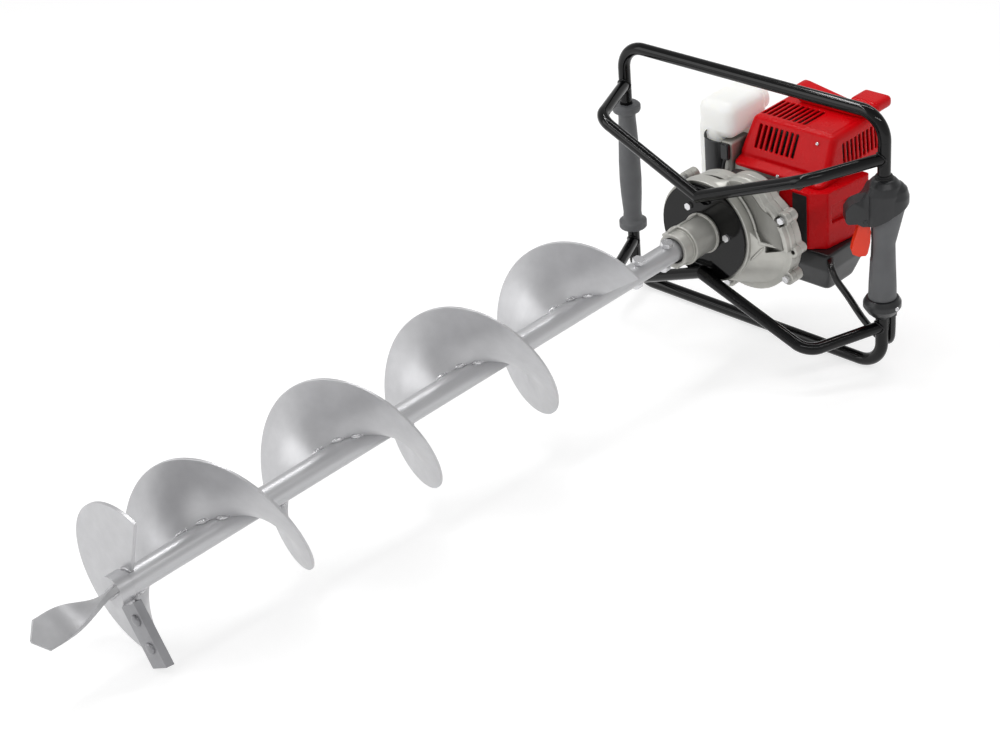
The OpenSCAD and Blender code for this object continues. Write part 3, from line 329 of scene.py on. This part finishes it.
MATERIALS = {
    "auger_steel": bit_steel(),
    "blade_steel": painted("blade_steel", (150, 150, 153), 0.36, metal=0.55, vary=0.06, grain=300),
    "zinc_bolts": painted("zinc_bolts", (222, 222, 224), 0.22, metal=0.75, vary=0.03, grain=1500,
                          edge=0.0004),
    "gear_steel": painted("gear_steel", (120, 120, 124), 0.3, metal=0.9),
    "bush_bronze": painted("bush_bronze", (190, 140, 80), 0.4, metal=0.9),
    "cast_aluminium": cast_metal(),
    "frame_black": painted("frame_black", (7, 7, 8), 0.1, vary=0.1, grain=220, bump=0.012, edge=0.0004,
                           gloss=0.3),
    "grip_rubber": painted("grip_rubber", (92, 93, 95), 0.55, vary=0.04, grain=1600, bump=0.1, edge=0),
    "seal_rubber": painted("seal_rubber", (26, 26, 27), 0.6, bump=0.1, edge=0),
    "cable_sleeve": painted("cable_sleeve", (12, 12, 13), 0.28, vary=0.05, grain=700, bump=0.04, edge=0),
    "black_plastic": painted("black_plastic", (31, 32, 34), 0.36, vary=0.05, grain=1900, bump=0.1, edge=0),
    "trigger_orange": painted("trigger_orange", (236, 54, 20), 0.32, vary=0.03, grain=1500, edge=0),
    "cover_red": painted("cover_red", (204, 6, 16), 0.28, vary=0.025, bump=0.008, edge=0, gloss=0.13),
    "muffler_steel": painted("muffler_steel", (36, 34, 32), 0.7, metal=0.3, vary=0.15, grain=500,
                             bump=0.15),
    "tank_plastic": tank_plastic(),
}
WELD_LOOK = painted("weld_bead", (206, 206, 208), 0.2, metal=0.6, vary=0.08, grain=260, bump=0.12)
PILOT_LOOK = painted("pilot_bar", (178, 178, 180), 0.46, metal=0.4, vary=0.05, grain=300)
# A darker copy of the cast finish: painted shade for the casting's deep hollow
HOLLOW_SHADE_LOOK = painted("cast_hollow_painted_shade", (142, 141, 136), 0.46, metal=0.4, vary=0.05, grain=1500, bump=0.12,
                      edge=0)
SLOT_OF = {s["node"]: s["material_slot"] for s in frame["record"]["subparts"]}
BODY_OF = {n: body for body, nodes in frame["record"]["behaviour"]["bodies"].items() for n in nodes}

# Blackened like the head it sits in
LOOK_OF = {"trigger_pin": "black_plastic"}
for name, node in frame["nodes"].items():
    node.data.materials.clear()
    node.data.materials.append(MATERIALS[LOOK_OF.get(name, SLOT_OF[name])])


# Tools for meshes and pieces

def piece(name, mesh, slot, body, replaced=(), look=None):
    """A new object with a material, riding on a body and standing for the named nodes."""
    obj = bpy.data.objects.new(name, mesh)
    scene.collection.objects.link(obj)
    mesh.materials.clear()
    mesh.materials.append(look or MATERIALS[slot])
    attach(obj, body)
    if replaced:
        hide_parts(*replaced)
    return obj


def apply_modifiers(obj):
    bpy.context.view_layer.update()
    evaluated = obj.evaluated_get(bpy.context.evaluated_depsgraph_get())
    mesh = bpy.data.meshes.new_from_object(evaluated)
    old = obj.data
    obj.modifiers.clear()
    obj.data = mesh
    bpy.data.meshes.remove(old)


def moulded(node, voxel, smooth=3, keep=0.25, slot=None):
    """A copy of a node with its edges rounded as a casting's or a moulding's are, in place of the node."""
    mesh = frame["nodes"][node].data.copy()
    obj = piece(node + "_moulded", mesh, slot or SLOT_OF[node], BODY_OF[node], [node])
    weld = obj.modifiers.new("weld", "WELD")
    weld.merge_threshold = 0.00002
    remesh = obj.modifiers.new("remesh", "REMESH")
    remesh.mode = "VOXEL"
    remesh.voxel_size = voxel * MM
    soften = obj.modifiers.new("soften", "SMOOTH")
    soften.factor = 0.5
    soften.iterations = smooth
    thin = obj.modifiers.new("thin", "DECIMATE")
    thin.ratio = keep
    apply_modifiers(obj)
    obj.data.polygons.foreach_set("use_smooth", [True] * len(obj.data.polygons))
    return obj


def mesh_of(name, bm, angle=50):
    """A finished mesh, smooth but for edges sharper than the angle."""
    mesh = bpy.data.meshes.new(name)
    bmesh.ops.recalc_face_normals(bm, faces=bm.faces)
    bm.to_mesh(mesh)
    bm.free()
    mesh.polygons.foreach_set("use_smooth", [True] * len(mesh.polygons))
    mesh.set_sharp_from_angle(angle=math.radians(angle))
    return mesh


def unit(degrees):
    """The cosine and sine of an angle."""
    a = math.radians(degrees)
    return math.cos(a), math.sin(a)


def turns(sides):
    """Evenly spaced angles round a circle, in radians."""
    return [2 * math.pi * k / sides for k in range(sides)]


def loft(bm, rows, closed=False):
    """Quads between rows of drill-frame points, each row an outline; the ends are capped or joined."""
    rings = [[bm.verts.new(DRILL @ Vector(p)) for p in row] for row in rows]
    n = len(rings[0])
    for low, high in zip(rings, rings[1:] + (rings[:1] if closed else [])):
        for k in range(n):
            bm.faces.new((low[k], low[(k + 1) % n], high[(k + 1) % n], high[k]))
    if not closed:
        bm.faces.new(rings[0])
        bm.faces.new(rings[-1][::-1])


def tube_mesh(bm, path, radii, sides, closed=False):
    """A tube of varying radius along drill-frame points."""
    count = len(path)
    rows = []
    for i, p in enumerate(path):
        if closed:
            ahead = path[(i + 1) % count] - path[i - 1]
        else:
            ahead = path[min(i + 1, count - 1)] - path[max(i - 1, 0)]
        ahead.normalize()
        side = ahead.cross(Vector((0.31, 0.53, 0.79))).normalized()
        up = side.cross(ahead)
        rows.append([p + (side * math.cos(t) + up * math.sin(t)) * radii[i] for t in turns(sides)])
    loft(bm, rows, closed)


def bead(bm, path, radius, rng, closed=False):
    """A weld bead: a row of overlapping puddles along a path."""
    last = len(path) - 1
    radii = []
    for i in range(len(path)):
        ends = 1.0 if closed else min(1.0, 0.4 + min(i, last - i) * 0.3)
        radii.append(radius * ends * (1 + 0.1 * (-1) ** i + rng.uniform(-0.08, 0.08)))
    tube_mesh(bm, path, radii, 8, closed)


def plate(name, low, high, slot, soft=0.6):
    """A flat plate with softened edges between two corners."""
    bm = bmesh.new()
    verts = [bm.verts.new(DRILL @ Vector((x, y, z))) for x in (low[0], high[0]) for y in (low[1], high[1])
             for z in (low[2], high[2])]
    for f in ((0, 1, 3, 2), (4, 6, 7, 5), (0, 4, 5, 1), (2, 3, 7, 6), (0, 2, 6, 4), (1, 5, 7, 3)):
        bm.faces.new([verts[k] for k in f])
    bmesh.ops.recalc_face_normals(bm, faces=bm.faces)
    bmesh.ops.bevel(bm, geom=bm.edges[:], offset=soft * MM, segments=3, affect="EDGES")
    return piece(name, mesh_of(name, bm, 40), slot, "frame")


def curve(points, steps):
    """A smooth path through the given points."""
    spots = [Vector(p) for p in points]
    path = []
    for i in range(len(spots) - 1):
        a, b, c, d = (spots[max(0, min(len(spots) - 1, i + k))] for k in (-1, 0, 1, 2))
        for k in range(steps):
            t = k / steps
            path.append(0.5 * (2 * b + (c - a) * t + (2 * a - 5 * b + 4 * c - d) * t ** 2
                               + (3 * b - a - 3 * c + d) * t ** 3))
    return path + [spots[-1]]


def along(points, count):
    """Points spread evenly along a line of (y, z) corners."""
    legs = [(Vector(a), Vector(b)) for a, b in zip(points, points[1:])]
    total = sum((b - a).length for a, b in legs)
    spots = []
    for i in range(count + 1):
        left = total * i / count
        for a, b in legs:
            if left <= (b - a).length or (a, b) == legs[-1]:
                spots.append(a.lerp(b, min(1.0, left / (b - a).length)))
                break
            left -= (b - a).length
    return spots


# The bit

def helix_x(a):
    return FLIGHT_START_X + (a - FLIGHT_START_A) / 360 * FLIGHT_PITCH


def flighting():
    """One continuous smooth ribbon of plate wound round the tube, with rounded rims."""
    bm = bmesh.new()
    total = 360 * FLIGHT_TURNS
    count = int(total / FLIGHT_STEP)
    half = FLIGHT_T / 2
    face = [FLIGHT_INNER, *FLIGHT_MIDDLE, FLIGHT_R - FLIGHT_RIM]
    profile = [(r, -half) for r in face] + [(FLIGHT_R, -half + FLIGHT_RIM), (FLIGHT_R, half - FLIGHT_RIM)]
    profile += [(r, half) for r in reversed(face)]
    rows = []
    for i in range(count + 1):
        a = FLIGHT_START_A + total * i / count
        c, s = unit(a)
        rows.append([(helix_x(a) + dx, r * c, r * s) for r, dx in profile])
    loft(bm, rows)
    return piece("flighting", mesh_of("flighting", bm, 30), "auger_steel", "auger",
                 ["flight_turn_1", "flight_turn_2", "flight_turn_3", "flight_turn_4"])


def flighting_welds():
    """Short stitch welds in pairs where each turn of the flighting meets the tube."""
    rng = random.Random(7)
    bm = bmesh.new()
    r = TUBE_R + STITCH_OUT
    for turn in range(math.ceil(FLIGHT_TURNS)):
        for share in STITCHES:
            if turn + share > FLIGHT_TURNS - 0.05:
                continue
            for side in (-1, 1):
                path = []
                for i in range(STITCH_POINTS):
                    a = FLIGHT_START_A + 360 * (turn + share) + STITCH_STEP * i
                    c, s = unit(a)
                    path.append(Vector((helix_x(a) + side * (FLIGHT_T / 2 + STITCH_OVER), r * c, r * s)))
                bead(bm, path, STITCH_BEAD, rng)
    return piece("flighting_welds", mesh_of("flighting_welds", bm), "auger_steel", "auger", look=WELD_LOOK)


def pilot():
    """The pilot point: a flat bar twisted evenly along its whole length, its end ground to a blunt V."""
    bm = bmesh.new()
    count = 55
    rows = []
    for i in range(count + 1):
        d = PILOT_LEN * i / count
        turned = min(1.0, d / PILOT_TWIST_LEN)
        c, s = unit(PILOT_START_A + PILOT_TWIST * turned * turned * (3 - 2 * turned))
        wide = PILOT_W / 2 * min(1.0, 0.1 + 0.9 * (PILOT_LEN - d) / PILOT_POINT_LEN)
        thick = (PILOT_T - PILOT_TAPER * d / PILOT_LEN) / 2
        flat, narrow = wide - PILOT_NICK, thick - PILOT_NICK
        outline = [(-thick, -flat), (-narrow, -wide), (narrow, -wide), (thick, -flat),
                   (thick, flat), (narrow, wide), (-narrow, wide), (-thick, flat)]
        rows.append([(PILOT_X - d, u * c - v * s, u * s + v * c) for u, v in outline])
    loft(bm, rows)
    return piece("pilot", mesh_of("pilot", bm, 40), SLOT_OF["pilot_point"], "auger", ["pilot_point"],
                 PILOT_LOOK)


def tip_welds():
    """Weld beads at the tip: round the half-moon plate, along the blade's root and at the pilot's root."""
    rng = random.Random(3)
    bm = bmesh.new()
    path = []
    for i in range(36):
        c, s = unit(MOON_WELD_A + MOON_WELD_SWEEP * i / 35)
        path.append(Vector((MOON_X - 0.6, (TUBE_R + 1) * c, (TUBE_R + 1) * s)))
    bead(bm, path, MOON_BEAD, rng)
    c, s = unit(BLADE_A)
    out, wide = Vector((0, c, s)), Vector((0, -s, c))
    steps = range(-WELD_HALF, WELD_HALF + 1, WELD_STEP)
    for over in BLADE_WELD_X:
        start = Vector((BLADE_X + over, 0, 0)) + out * BLADE_ROOT
        bead(bm, [start + wide * step for step in steps], BLADE_BEAD, rng)
    c, s = unit(PILOT_START_A)
    thick, broad = Vector((0, c, s)), Vector((0, -s, c))
    for side in (-1, 1):
        start = Vector((PILOT_X - 0.4, 0, 0)) + thick * side * (PILOT_T / 2 + 0.8)
        bead(bm, [start + broad * step for step in steps], PILOT_BEAD, rng)
    return piece("tip_welds", mesh_of("tip_welds", bm), "auger_steel", "auger")


def blade_heads():
    """The low round heads of the blade's bolts."""
    bm = bmesh.new()
    c, s = unit(BLADE_A)
    for reach in BLADE_BOLTS:
        loft(bm, [[(BLADE_X + x, reach * c + r * math.cos(t), reach * s + r * math.sin(t))
                   for t in turns(32)] for r, x in BLADE_HEAD])
    return piece("blade_heads", mesh_of("blade_heads", bm), SLOT_OF["blade_bolts"], "auger", ["blade_bolts"],
                 MATERIALS["blade_steel"])


# The frame and the throttle handle

def brace_welds():
    """Painted weld beads round each brace at its leg, and along the braces' apexes on the disc."""
    rng = random.Random(11)
    bm = bmesh.new()
    for side in (1, -1):
        for bend_z, end_z in ((BRACE_Z, BRACE_TOP), (-BRACE_Z, -BRACE_BOTTOM)):
            end = Vector((LOOP_X, side * LEG_Y, end_z))
            lean = (Vector((BRACE_X, side * BRACE_Y, bend_z)) - end).normalized()
            run = Vector((lean.x, lean.y))
            u = lean.cross(Vector((0, 0, 1))).normalized()
            v = lean.cross(u)
            path = []
            for t in turns(40):
                spot = end + (u * math.cos(t) + v * math.sin(t)) * (BRACE_R + BEAD_OFF)
                flat = Vector((spot.x - LOOP_X, spot.y - side * LEG_Y))
                half = flat.dot(run)
                short = flat.length_squared - (FRAME_R + BEAD_OFF) ** 2
                left = half * half - run.length_squared * short
                path.append(spot + lean * ((-half + math.sqrt(max(0.0, left))) / run.length_squared))
            bead(bm, path, LEG_BEAD, rng, closed=True)
    for up in (1, -1):
        for over in (1, -1):
            z = up * BRACE_APEX_Z + over * (BRACE_R - BEAD_OFF)
            path = [Vector((APEX_WELD_X, -WELD_HALF + APEX_WELD_STEP * i, z)) for i in range(21)]
            bead(bm, path, APEX_BEAD, rng)
    return piece("brace_welds", mesh_of("brace_welds", bm), "frame_black", "frame")


def head_boot():
    """The ribbed rubber boot that seals the throttle head's top round the leg."""
    bm = bmesh.new()
    inner = FRAME_R + 0.2
    profile = [(inner, HEAD_TOP - 1)]
    for i in range(2):
        z = HEAD_TOP + 2.4 * i
        r = FRAME_R + 3.6 - 1.2 * i
        profile += [(r, z), (r + 0.4, z + 0.9), (r, z + 1.7), (r - 1.4, z + 2.1)]
    profile.append((inner, HEAD_TOP + 4.8))
    loft(bm, [[(LOOP_X + r * math.cos(t), -LEG_Y + r * math.sin(t), z) for t in turns(40)]
              for r, z in profile], closed=True)
    return piece("head_boot", mesh_of("head_boot", bm, 40), "seal_rubber", "frame")


def press_snout(head):
    """Lowers the throttle head's snout below its crown."""
    back = DRILL.inverted()
    for v in head.data.vertices:
        p = back @ v.co
        out = (p.y + LEG_Y - p.x + LOOP_X) * math.sqrt(0.5)
        for (s0, z0), (s1, z1) in zip(SNOUT, SNOUT[1:]):
            if s0 <= out < s1:
                p.z = min(p.z, z0 + (z1 - z0) * (out - s0) / (s1 - s0))
                v.co = DRILL @ p


def cable():
    """The throttle cable with its sleeve, rounded and a little fuller than its core."""
    bm = bmesh.new()
    bm.from_mesh(frame["nodes"]["throttle_cable"].data)
    bmesh.ops.remove_doubles(bm, verts=bm.verts, dist=0.00002)
    bm.normal_update()
    for v in bm.verts:
        v.co += v.normal * SLEEVE * MM
    return piece("cable", mesh_of("cable", bm, 60), SLOT_OF["throttle_cable"], "frame", ["throttle_cable"])


# The engine and the gearbox

def screw(bm, place, out, r):
    """A pan-head screw with a cross recess, its head's underside at place."""
    out = out.normalized()
    u = out.orthogonal().normalized()
    v = out.cross(u)
    spokes = [u * math.cos(t) + v * math.sin(t) for t in turns(24)]
    rows = [[place + spoke * (wide * r) + out * (high * r) for spoke in spokes] for wide, high in PAN_HEAD]
    recess = []
    for k, spoke in enumerate(spokes):
        # Every sixth spoke and its neighbours are an arm of the cross
        arm = 0.5 * r if min(k % 6, 6 - k % 6) <= 1 else 0.14 * r
        recess.append(place + spoke * arm * 0.8 + out * 0.4 * r)
    loft(bm, rows + [recess])


def cover_screws():
    """Bright screws in the shroud's skirt and front, and in the throttle collar."""
    bm = bmesh.new()
    for place, out, r in SCREWS:
        screw(bm, Vector(place), Vector(out), r)
    return piece("cover_screws", mesh_of("cover_screws", bm, 35), "zinc_bolts", "frame")


def shield():
    """The curved black shield in front of the carburettor, with a thin horn at its outer top corner."""
    bm = bmesh.new()
    lip = 0.6
    rows = []
    for i in range(21):
        y = SHIELD_Y + SHIELD_W * i / 20
        x = SHIELD_X - math.sqrt(SHIELD_R ** 2 - (y - SHIELD_Y - SHIELD_W / 2) ** 2)
        back = x + SHIELD_T
        top = SHIELD_TOP - 3 * (1 - i / 20)
        rows.append([(x, y, SHIELD_LOW), (back, y, SHIELD_LOW), (back, y, top - lip), (back - lip, y, top),
                     (x + lip, y, top), (x, y, top - lip)])
    loft(bm, rows)
    front, back = HORN_X
    loft(bm, [[(front, outer, z), (back, outer, z), (back, inner, z), (front, inner, z)]
              for outer, inner, z in HORN])
    return piece("shield", mesh_of("shield", bm, 40), SLOT_OF["tank_shield"], "frame", ["tank_shield"])


def fuel_hose():
    """The short rubber hose from the carburettor down behind the shield."""
    bm = bmesh.new()
    path = curve(HOSE, 8)
    tube_mesh(bm, path, [HOSE_R] * len(path), 14)
    return piece("fuel_hose", mesh_of("fuel_hose", bm), "seal_rubber", "frame")


def casting_web():
    """The smooth hollow of the front casting, from its ridge to the idler's lobe and then to its rim, in a
    darker finish that is painted shade.
    """
    bm = bmesh.new()
    across, count = 15, 40
    grid = []
    for i, start in enumerate(along(RIDGE, count)):
        t = i / count
        end = CRANK + Vector(unit(RIM_START_A + RIM_SWEEP * t)) * RIM_R
        if t < 0.5:
            lobe = IDLER + Vector(unit(HOLLOW_START_A + HOLLOW_SWEEP * t)) * HOLLOW_R
            end = lobe.lerp(end, (2 * t) ** 4)
        # Level for this share of the way, then down to this depth below the ridge's foot
        flat = 0.8 - 0.7 * max(0.0, (t - 0.45) / 0.55)
        deep = WEB_DEPTH * min(1.0, max(0.0, (t - 0.5) / 0.25))
        row = []
        for k in range(across):
            share = k / (across - 1)
            spot = start.lerp(end, share)
            slope = max(0.0, (share - flat) / (1 - flat))
            row.append((WEB_X + deep * slope * slope * (3 - 2 * slope), spot.x, spot.y))
        # A short wall that closes the sheet's edge against the casting
        edge = end + (end - start).normalized()
        row.append((WEB_X + WEB_DEPTH, edge.x, edge.y))
        grid.append([bm.verts.new(DRILL @ Vector(p)) for p in row])
    for low, high in zip(grid, grid[1:]):
        for k in range(across):
            bm.faces.new((low[k], high[k], high[k + 1], low[k + 1]))
    return piece("casting_web", mesh_of("casting_web", bm, 60), "cast_aluminium", "frame", look=HOLLOW_SHADE_LOOK)


def casting_ribs(casting):
    """Round-topped ribs on the front casting: the ridge round its hollow, and a short one below."""
    mesh = casting.data
    tree = BVHTree.FromPolygons([v.co for v in mesh.vertices], [p.vertices for p in mesh.polygons])
    back = DRILL.inverted()
    bm = bmesh.new()
    point, end = Vector(RIB_POINT), Vector(RIB_END)
    ridge = []
    for i in range(24):
        c, s = unit(EDGE_START_A + EDGE_SWEEP * i / 23)
        ridge.append(Vector((EDGE_X, (BOSS_R + 1) * c, (BOSS_R + 1) * s)))
    corner = ridge[-1]
    ridge += [corner.lerp(point, k / 8) for k in range(1, 9)]
    ridge += [point.lerp(end, k / 16) for k in range(1, 17)]
    low = []
    for spot in along(LOWER_RIB, 24):
        hit = tree.ray_cast(drill(-60, spot.x, spot.y), drill_x)[0]
        # Hits nearer the front are the boss, not the casting's flank
        if hit and (back @ hit).x > 8:
            low.append(Vector(((back @ hit).x, spot.x, spot.y)))
    for path, radius in ((ridge, RIDGE_R), (low, LOWER_RIB_R)):
        last = len(path) - 1
        radii = [radius * min(1.0, 0.3 + 0.2 * min(i, last - i)) for i in range(len(path))]
        tube_mesh(bm, path, radii, 12)
    return piece("casting_ribs", mesh_of("casting_ribs", bm), "cast_aluminium", "frame")


flighting()
flighting_welds()
brace_welds()
cover_screws()
head_boot()
pilot()
tip_welds()
blade_heads()
cable()
shield()
fuel_hose()
plate("trim_strip", (95.3, -111, -34), (97.2, -86, 48), "black_plastic")
plate("shroud_floor", (245, -117, 52.3), (258.5, 31, 54.6), "black_plastic")
plate("carburettor_cover", (108, 39, 58), (115, 53, 83), "black_plastic", soft=1.5)
casting_ribs(moulded("gearbox_front", 0.7, smooth=2, keep=0.2))
casting_web()
press_snout(moulded("throttle_head", 0.8))
moulded("gearbox_nose", 0.6, smooth=2)
moulded("carburettor", 1.0, slot="cast_aluminium")
moulded("top_shroud", 0.9, smooth=4, keep=0.4)
moulded("fuel_cap", 0.8, slot="tank_plastic")
for node, voxel in (("gearbox_rear", 1.2), ("side_cover", 1.0), ("air_filter", 1.5), ("crankcase", 1.2),
                    ("fuel_tank", 2.0), ("rear_guard", 1.5), ("throttle_grip", 0.7), ("throttle_collar", 0.7),
                    ("trigger", 0.6), ("left_grip", 0.8), ("fan_housing", 1.5), ("recoil_housing", 1.5),
                    ("starter_grip", 0.8)):
    moulded(node, voxel)


# Stage, light and camera

def seen_directly(tree, other, seen):
    """A strength for rays from the eye or from a mirror-like surface, and another for all other rays."""
    path = tree.nodes.new("ShaderNodeLightPath")
    either = tree.nodes.new("ShaderNodeMath")
    either.operation = "MAXIMUM"
    tree.links.new(path.outputs["Is Camera Ray"], either.inputs[0])
    tree.links.new(path.outputs["Is Glossy Ray"], either.inputs[1])
    strength = tree.nodes.new("ShaderNodeMapRange")
    strength.inputs["To Min"].default_value = other
    strength.inputs["To Max"].default_value = seen
    tree.links.new(either.outputs["Value"], strength.inputs["Value"])
    return strength.outputs["Result"]


def floor():
    """A white sweep: to the eye it fades into the white background, and it keeps the object's soft shadow."""
    mesh = bpy.data.meshes.new("floor")
    reach = 12.0
    corners = [(-reach, -reach, 0), (reach, -reach, 0), (reach, reach, 0), (-reach, reach, 0)]
    mesh.from_pydata(corners, [], [(0, 1, 2, 3)])
    obj = bpy.data.objects.new("floor", mesh)
    obj.location.z = -0.0005
    scene.collection.objects.link(obj)
    s = Shader("floor_white")
    s.set(Roughness=0.9, Specular_IOR_Level=0.0, Emission_Color=(1, 1, 1, 1))
    s.link(seen_directly(s.tree, 0.93, 0.45), s.bsdf.inputs["Base Color"])
    s.link(seen_directly(s.tree, 0.0, 0.68), s.bsdf.inputs["Emission Strength"])
    mesh.materials.append(s.mat)


def area_light(name, place, target, width, length, power):
    """A strip or box light, its length level and square to its aim."""
    lamp = bpy.data.lights.new(name, "AREA")
    lamp.shape = "RECTANGLE"
    lamp.size = length
    lamp.size_y = width
    lamp.energy = power
    obj = bpy.data.objects.new(name, lamp)
    obj.location = place
    obj.rotation_mode = "QUATERNION"
    obj.rotation_quaternion = (Vector(target) - Vector(place)).to_track_quat("-Z", "Y")
    scene.collection.objects.link(obj)


def world():
    """A white studio, brightest round the horizon and dimmer overhead, plain white to the eye."""
    w = bpy.data.worlds.new("studio")
    scene.world = w
    w.use_nodes = True
    tree = w.node_tree
    background = tree.nodes["Background"]
    background.inputs["Color"].default_value = (1, 1, 1, 1)
    split = tree.nodes.new("ShaderNodeSeparateXYZ")
    tree.links.new(tree.nodes.new("ShaderNodeTexCoord").outputs["Generated"], split.inputs["Vector"])
    dome = tree.nodes.new("ShaderNodeMapRange")
    dome.inputs["To Min"].default_value = 0.7
    dome.inputs["To Max"].default_value = 0.27
    tree.links.new(split.outputs["Z"], dome.inputs["Value"])
    path = tree.nodes.new("ShaderNodeLightPath")
    strength = tree.nodes.new("ShaderNodeMapRange")
    strength.inputs["To Max"].default_value = 1.0
    tree.links.new(path.outputs["Is Camera Ray"], strength.inputs["Value"])
    tree.links.new(dome.outputs["Result"], strength.inputs["To Min"])
    tree.links.new(strength.outputs["Result"], background.inputs["Strength"])


def camera():
    """The photograph's viewpoint, fitted to the drill axis, the flighting's rims and the frame."""
    place = (-1971.76, -1654.65, 1349.86)
    right = (0.69083845, -0.71787128, -0.08604102)
    down = (-0.42656782, -0.30860587, -0.85017781)
    ahead = (0.58376548, 0.62403785, -0.51941759)
    turn = Matrix((drill_x, drill_y, drill_z)).transposed()
    x, y, z = turn @ Vector(right), -(turn @ Vector(down)), -(turn @ Vector(ahead))
    data = bpy.data.cameras.new("camera")
    data.lens = 72.67
    data.sensor_width = 36.0
    data.clip_start, data.clip_end = 0.05, 60
    obj = bpy.data.objects.new("camera", data)
    obj.matrix_world = Matrix.Translation(drill(*place)) @ Matrix((x, y, z)).transposed().to_4x4()
    scene.collection.objects.link(obj)
    scene.camera = obj


floor()
world()
area_light("side_box", (-2.8, 2.0, 1.6), (0, 0, 0.1), width=2.4, length=2.6, power=34)
area_light("top_strip", (0.9, 0.5, 2.6), (0.5, 0, 0.2), width=0.07, length=2.6, power=16)
area_light("front_strip", (-0.6, -1.9, 2.5), (0.3, 0, 0.2), width=0.07, length=2.8, power=16)
area_light("long_strip", (-0.2, 0.9, 2.4), (0, 0, 0.1), width=0.07, length=3.0, power=16)
camera()
scene.view_settings.view_transform = "Standard"
